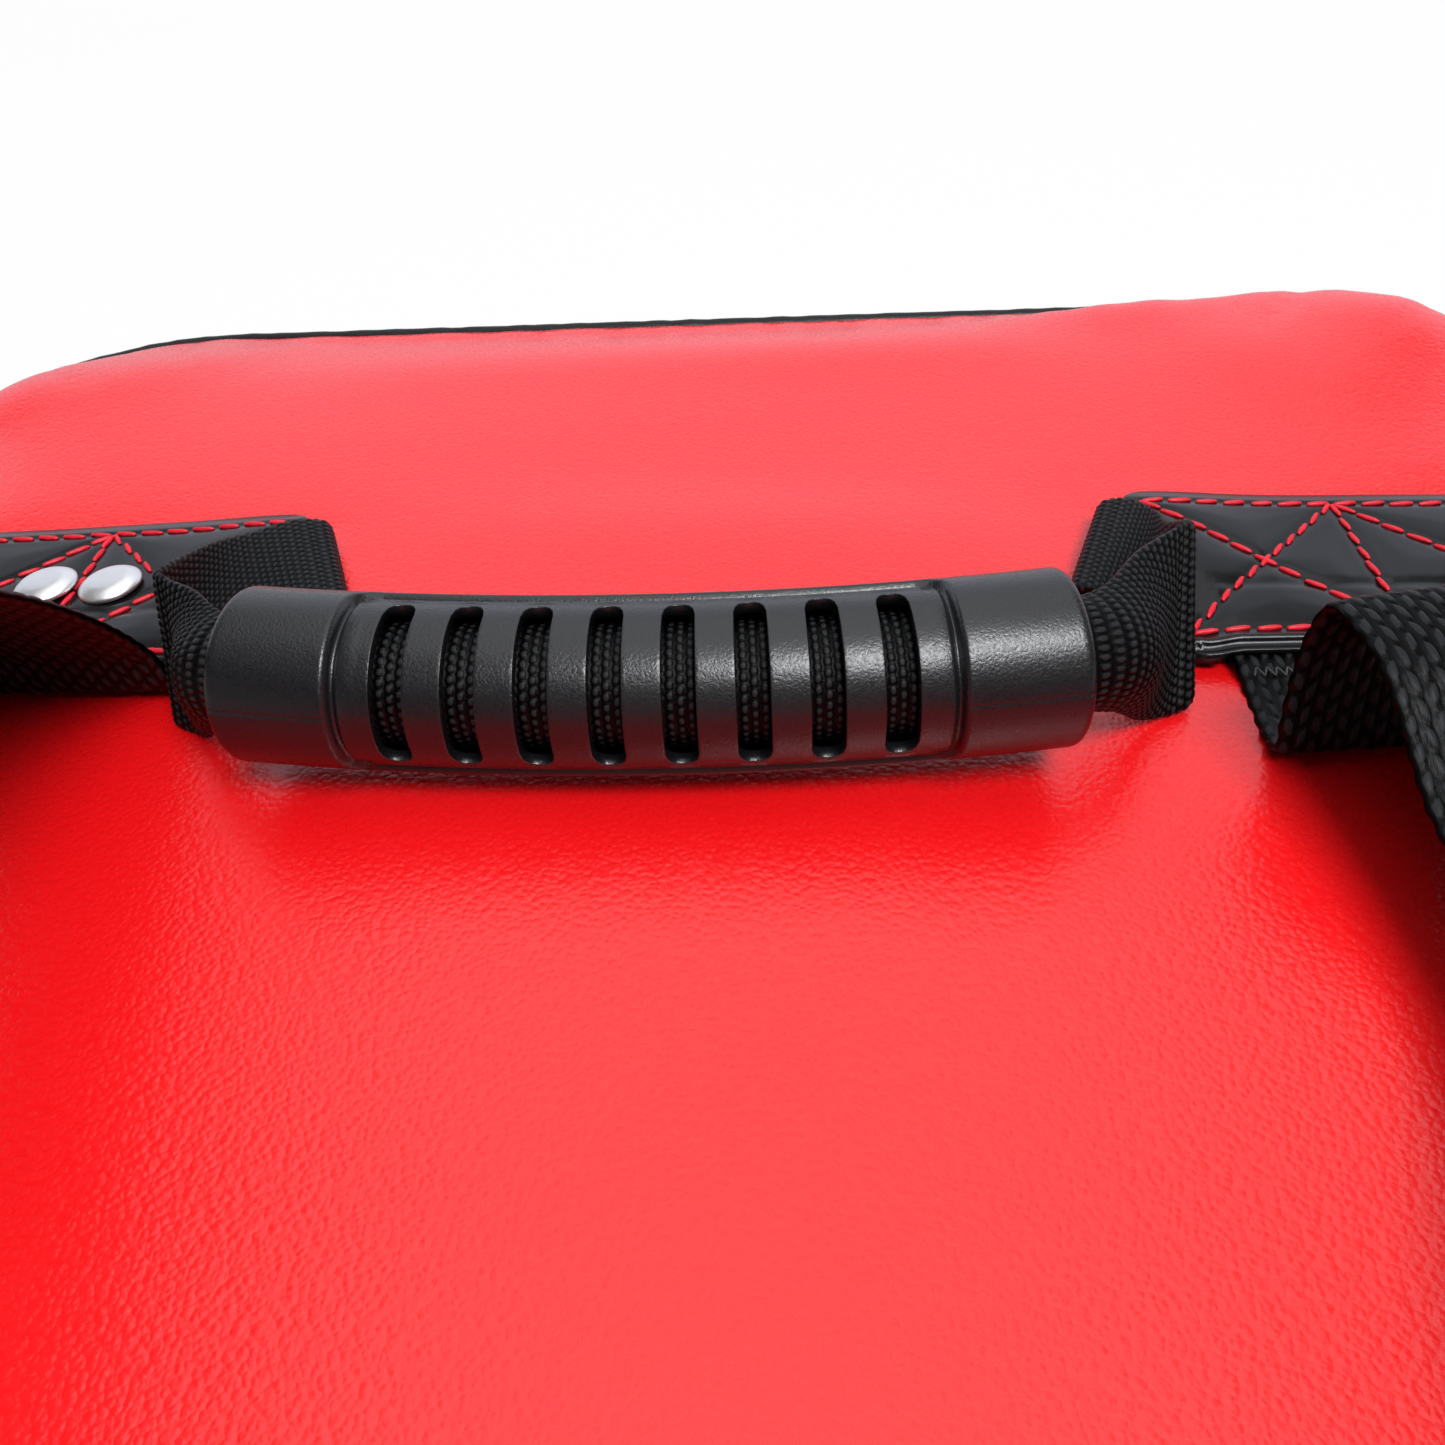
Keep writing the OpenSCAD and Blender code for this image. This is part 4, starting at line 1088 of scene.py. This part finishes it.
def rightEdge(s, x, o):  # doubles back beside its upper patch, more so at the outer edge
    y, m, z, h = s["patchLow"], s["mid"], s["top"], s["high"]
    return [
        (x, y + s["tail"], m), (x, y, m), (x - 1, y - 21 + 2 * o, m + 0.2), (x - 2, y - 29 + 4 * o, z + 6),
        (x - 2, y - 28 + 6 * o, z + 14), (x - 1, y - 26 + 9 * o, z + 25), (x - 0.5, y - 29 + 9 * o, z + 33),
        (x + 1, y - 38 + 9 * o, z + 34), (x + 5, 0.53 * y + 7 * o, z + 0.268 * h),
        (x + 6, 0.36 * y + 4 * o, z + 0.268 * h), (x + 5, 0.10 * y, z + 0.493 * h), (x + 3, -0.18 * y, z + 0.64 * h),
        (x + 2, -0.46 * y, z + 0.58 * h), (x + 1, -0.68 * y, z + 0.398 * h), (x, 16 - y, z + 0.164 * h),
        (x, 6 - y, m + 1.2), (x, -y, m), (x, -y - s["tail"], m),
    ]


def blendStrap(obj, s, side, end):  # end is 1 at the upper patch and -1 at the lower one
    at = lambda y: ((-1 if side == "left" else 1) * s["x"] * mm, end * y * mm, s["mid"] * mm)
    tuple(at(s["sewn"]))
    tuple(at(s["swung"][side]))
    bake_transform(obj)


def makeStrap(s, side, a, b, crest):
    upper = makeRibbon(side + "StrapUpper", a, b, 0, crest, s, floatRise, endCap=False)
    lower = makeRibbon(side + "StrapLower", a, b, crest, len(a) - 1, s, floatRise, startCap=False)
    for piece, end in ((upper, 1), (lower, -1)):
        dress(piece, "strapWeb")
        blendStrap(piece, s, side, end)
    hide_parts(side + "_strap_top_tail", side + "_strap_top_root", side + "_arm_strap")
    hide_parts(side + "_strap_bottom_tail", side + "_strap_bottom_root")


near, far = strapWeb["x"] - strapWeb["width"] / 2, strapWeb["x"] + strapWeb["width"] / 2
makeStrap(strapWeb, "left", leftEdge(strapWeb, near), leftEdge(strapWeb, far), 10)
makeStrap(strapWeb, "right", rightEdge(strapWeb, far, 1), rightEdge(strapWeb, near, 0), 11)

tackShape = {
    "x": (94.6, 106.0), "y": 125.0, "z": 153.62, "wide": 2.4, "count": 13, "thread": 0.42,
    "overlap": 1.05, "twist": 0.1,
}


def makeTack(s, strap):  # grey zigzag that ties the right strap down beside its patch
    bm = bmesh.new()
    start, step = s["x"][0], (s["x"][1] - s["x"][0]) / s["count"]
    zigzag = [(start + k * step, s["y"] + (k % 2 - 0.5) * s["wide"], s["z"]) for k in range(s["count"] + 1)]
    corners = [Vector(point) for point in zigzag]
    for a, b in zip(corners, corners[1:]):
        length = (b - a).length * s["overlap"]
        addStitch(bm, (a + b) / 2, (b - a).normalized(), length, s["thread"], s["thread"], s["twist"])
    obj = linkObject("rightStrapTack", bm)
    dress(obj, "greyThread")
    blendStrap(obj, strap, "right", 1)


makeTack(tackShape, strapWeb)
print("arm straps made")

rivetShape = {
    "at": ((-117.0, 157.0), (-130.0, 157.0)), "seat": 155.2, "tilt": 5.0,
    "d": 12.4, "h": 2.3, "shank": 3.4, "deep": 6.0,
    # the dome as shares of the radius and depths under the crown
    "dome": ((0, 0), (0.3, 0.01), (0.55, 0.05), (0.68, 0.16), (0.82, 0.55), (0.93, 1.02), (0.985, 1.35), (1, 1.7)),
}


def makeRivets(s):
    bm = bmesh.new()
    r, h, shank = s["d"] / 2, s["h"], s["shank"] / 2
    profile = [(r * share, h - depth) for share, depth in s["dome"]]
    profile += [(r - 0.05, h - 2.05), (r - 0.3, h - 2.25), (r * 0.6, h - 2.2)]  # over the rim and back under
    profile += [(shank, h - 2.2), (shank, -s["deep"]), (0, -s["deep"])]
    turn = Matrix.Rotation(math.radians(-s["tilt"]), 4, "Y")
    for x, y in s["at"]:
        old = set(bm.verts)
        verts = [bm.verts.new((a * mm, 0, b * mm)) for a, b in profile]
        edges = [bm.edges.new(pair) for pair in zip(verts, verts[1:])]
        bmesh.ops.spin(bm, geom=verts + edges, cent=(0, 0, 0), axis=(0, 0, 1), angle=fullTurn, steps=40, use_merge=True)
        bmesh.ops.remove_doubles(bm, verts=[v for v in bm.verts if v not in old], dist=0.002 * mm)
        place = Matrix.Translation(Vector((x, y, s["seat"])) * mm)
        bmesh.ops.transform(bm, matrix=place @ turn, verts=[v for v in bm.verts if v not in old])
    bmesh.ops.recalc_face_normals(bm, faces=bm.faces)
    obj = linkObject("rivetHeads", bm)
    return obj


dress(makeRivets(rivetShape), "rivetSteel", "pad", "rivet_heads")
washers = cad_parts["rivet_washers"]  # the node's own mesh, with the same steel
washers.data.materials.clear()
washers.data.materials.append(materials["rivetSteel"])
print("rivets made")

stageSettings = {
    "floor": 6.0, "drop": 0.6, "wallY": 2.0, "wallZ": 1.85,
    "pale": (0.93, 0.93, 0.93), "cool": (0.84, 0.88, 1.0), "floorWhite": 0.96,
}


def makePale(name, s, camera, glossy, glow=(1, 1, 1)):  # pale paper, plain white to the camera or in reflections
    mat, tree, shader = startMaterial(name)
    for key, value in (("Base Color", (*s["pale"], 1)), ("Roughness", 0.9), ("Specular IOR Level", 0.0)):
        shader.inputs[key].default_value = value
    ray = addNode(tree, "LightPath", {}).node.outputs
    seen = addNode(tree, "Math", {0: ray["Is Camera Ray"], 1: camera}, operation="MULTIPLY")
    share = addNode(tree, "Math", {0: ray["Is Glossy Ray"], 1: glossy, 2: seen}, operation="MULTIPLY_ADD")
    tint = {0: ray["Is Camera Ray"], 6: (*glow, 1), 7: (1, 1, 1, 1)}
    shone = addNode(tree, "Emission", {"Color": addNode(tree, "Mix", tint, 2, data_type="RGBA"), "Strength": 1.0})
    mix = addNode(tree, "MixShader", {0: share, 1: shader.outputs[0], 2: shone})
    tree.links.new(mix, tree.nodes["Material Output"].inputs["Surface"])
    return mat


def makeStage(s):
    bm = bmesh.new()
    bmesh.ops.create_grid(bm, x_segments=2, y_segments=2, size=s["floor"])
    bmesh.ops.translate(bm, verts=bm.verts, vec=(0, 0, -s["drop"] * mm))
    floor = linkObject("floor", bm)
    floor.data.materials.append(makePale("paleFloor", s, s["floorWhite"], 0.0))
    bm = bmesh.new()  # low white card behind the pad
    bmesh.ops.create_grid(bm, x_segments=1, y_segments=1, size=0.5)
    upright = Matrix.Rotation(math.pi / 2, 4, "X") @ Matrix.Diagonal((2 * s["floor"], s["wallZ"], 1, 1))
    bmesh.ops.transform(bm, matrix=Matrix.Translation((0, s["wallY"], s["wallZ"] / 2)) @ upright, verts=bm.verts)
    card = linkObject("backCard", bm)
    card.data.materials.append(makePale("paleCard", s, 1.0, 1.0, s["cool"]))


makeStage(stageSettings)

lights = {
    "top": {"place": (0.0, 0.70, 1.75), "aim": (0.0, 0.62, 0.15), "size": (1.7, 2.0), "power": 12.0},
    "front": {"place": (0.42, -0.70, 1.60), "aim": (0.02, 0.12, 0.16), "size": (0.8, 0.6), "power": 28.0},
}
worldLight = {"strength": 0.20, "lamp": (0.97, 0.98, 1.0)}


def makeLights(settings, w):
    for name, s in settings.items():
        data = bpy.data.lights.new(name, "AREA")
        data.shape = "RECTANGLE"
        data.size, data.size_y = s["size"]
        data.energy, data.color = s["power"], w["lamp"]
        lamp = bpy.data.objects.new(name, data)
        lamp.location = s["place"]
        lamp.rotation_euler = (Vector(s["aim"]) - Vector(s["place"])).to_track_quat("-Z", "Y").to_euler()
        scene.collection.objects.link(lamp)
    world = bpy.data.worlds.new("studio")
    scene.world = world
    world.use_nodes = True
    tree = world.node_tree
    back = tree.nodes["Background"]
    back.inputs["Color"].default_value = (1, 1, 1, 1)
    seen = addNode(tree, "LightPath", {}, "Is Camera Ray")  # white behind the floor's far edge, dim as a light
    white = addNode(tree, "MapRange", {"Value": seen, "To Min": w["strength"], "To Max": 1.0})
    tree.links.new(white, back.inputs["Strength"])


makeLights(lights, worldLight)
print("stage and lights set")
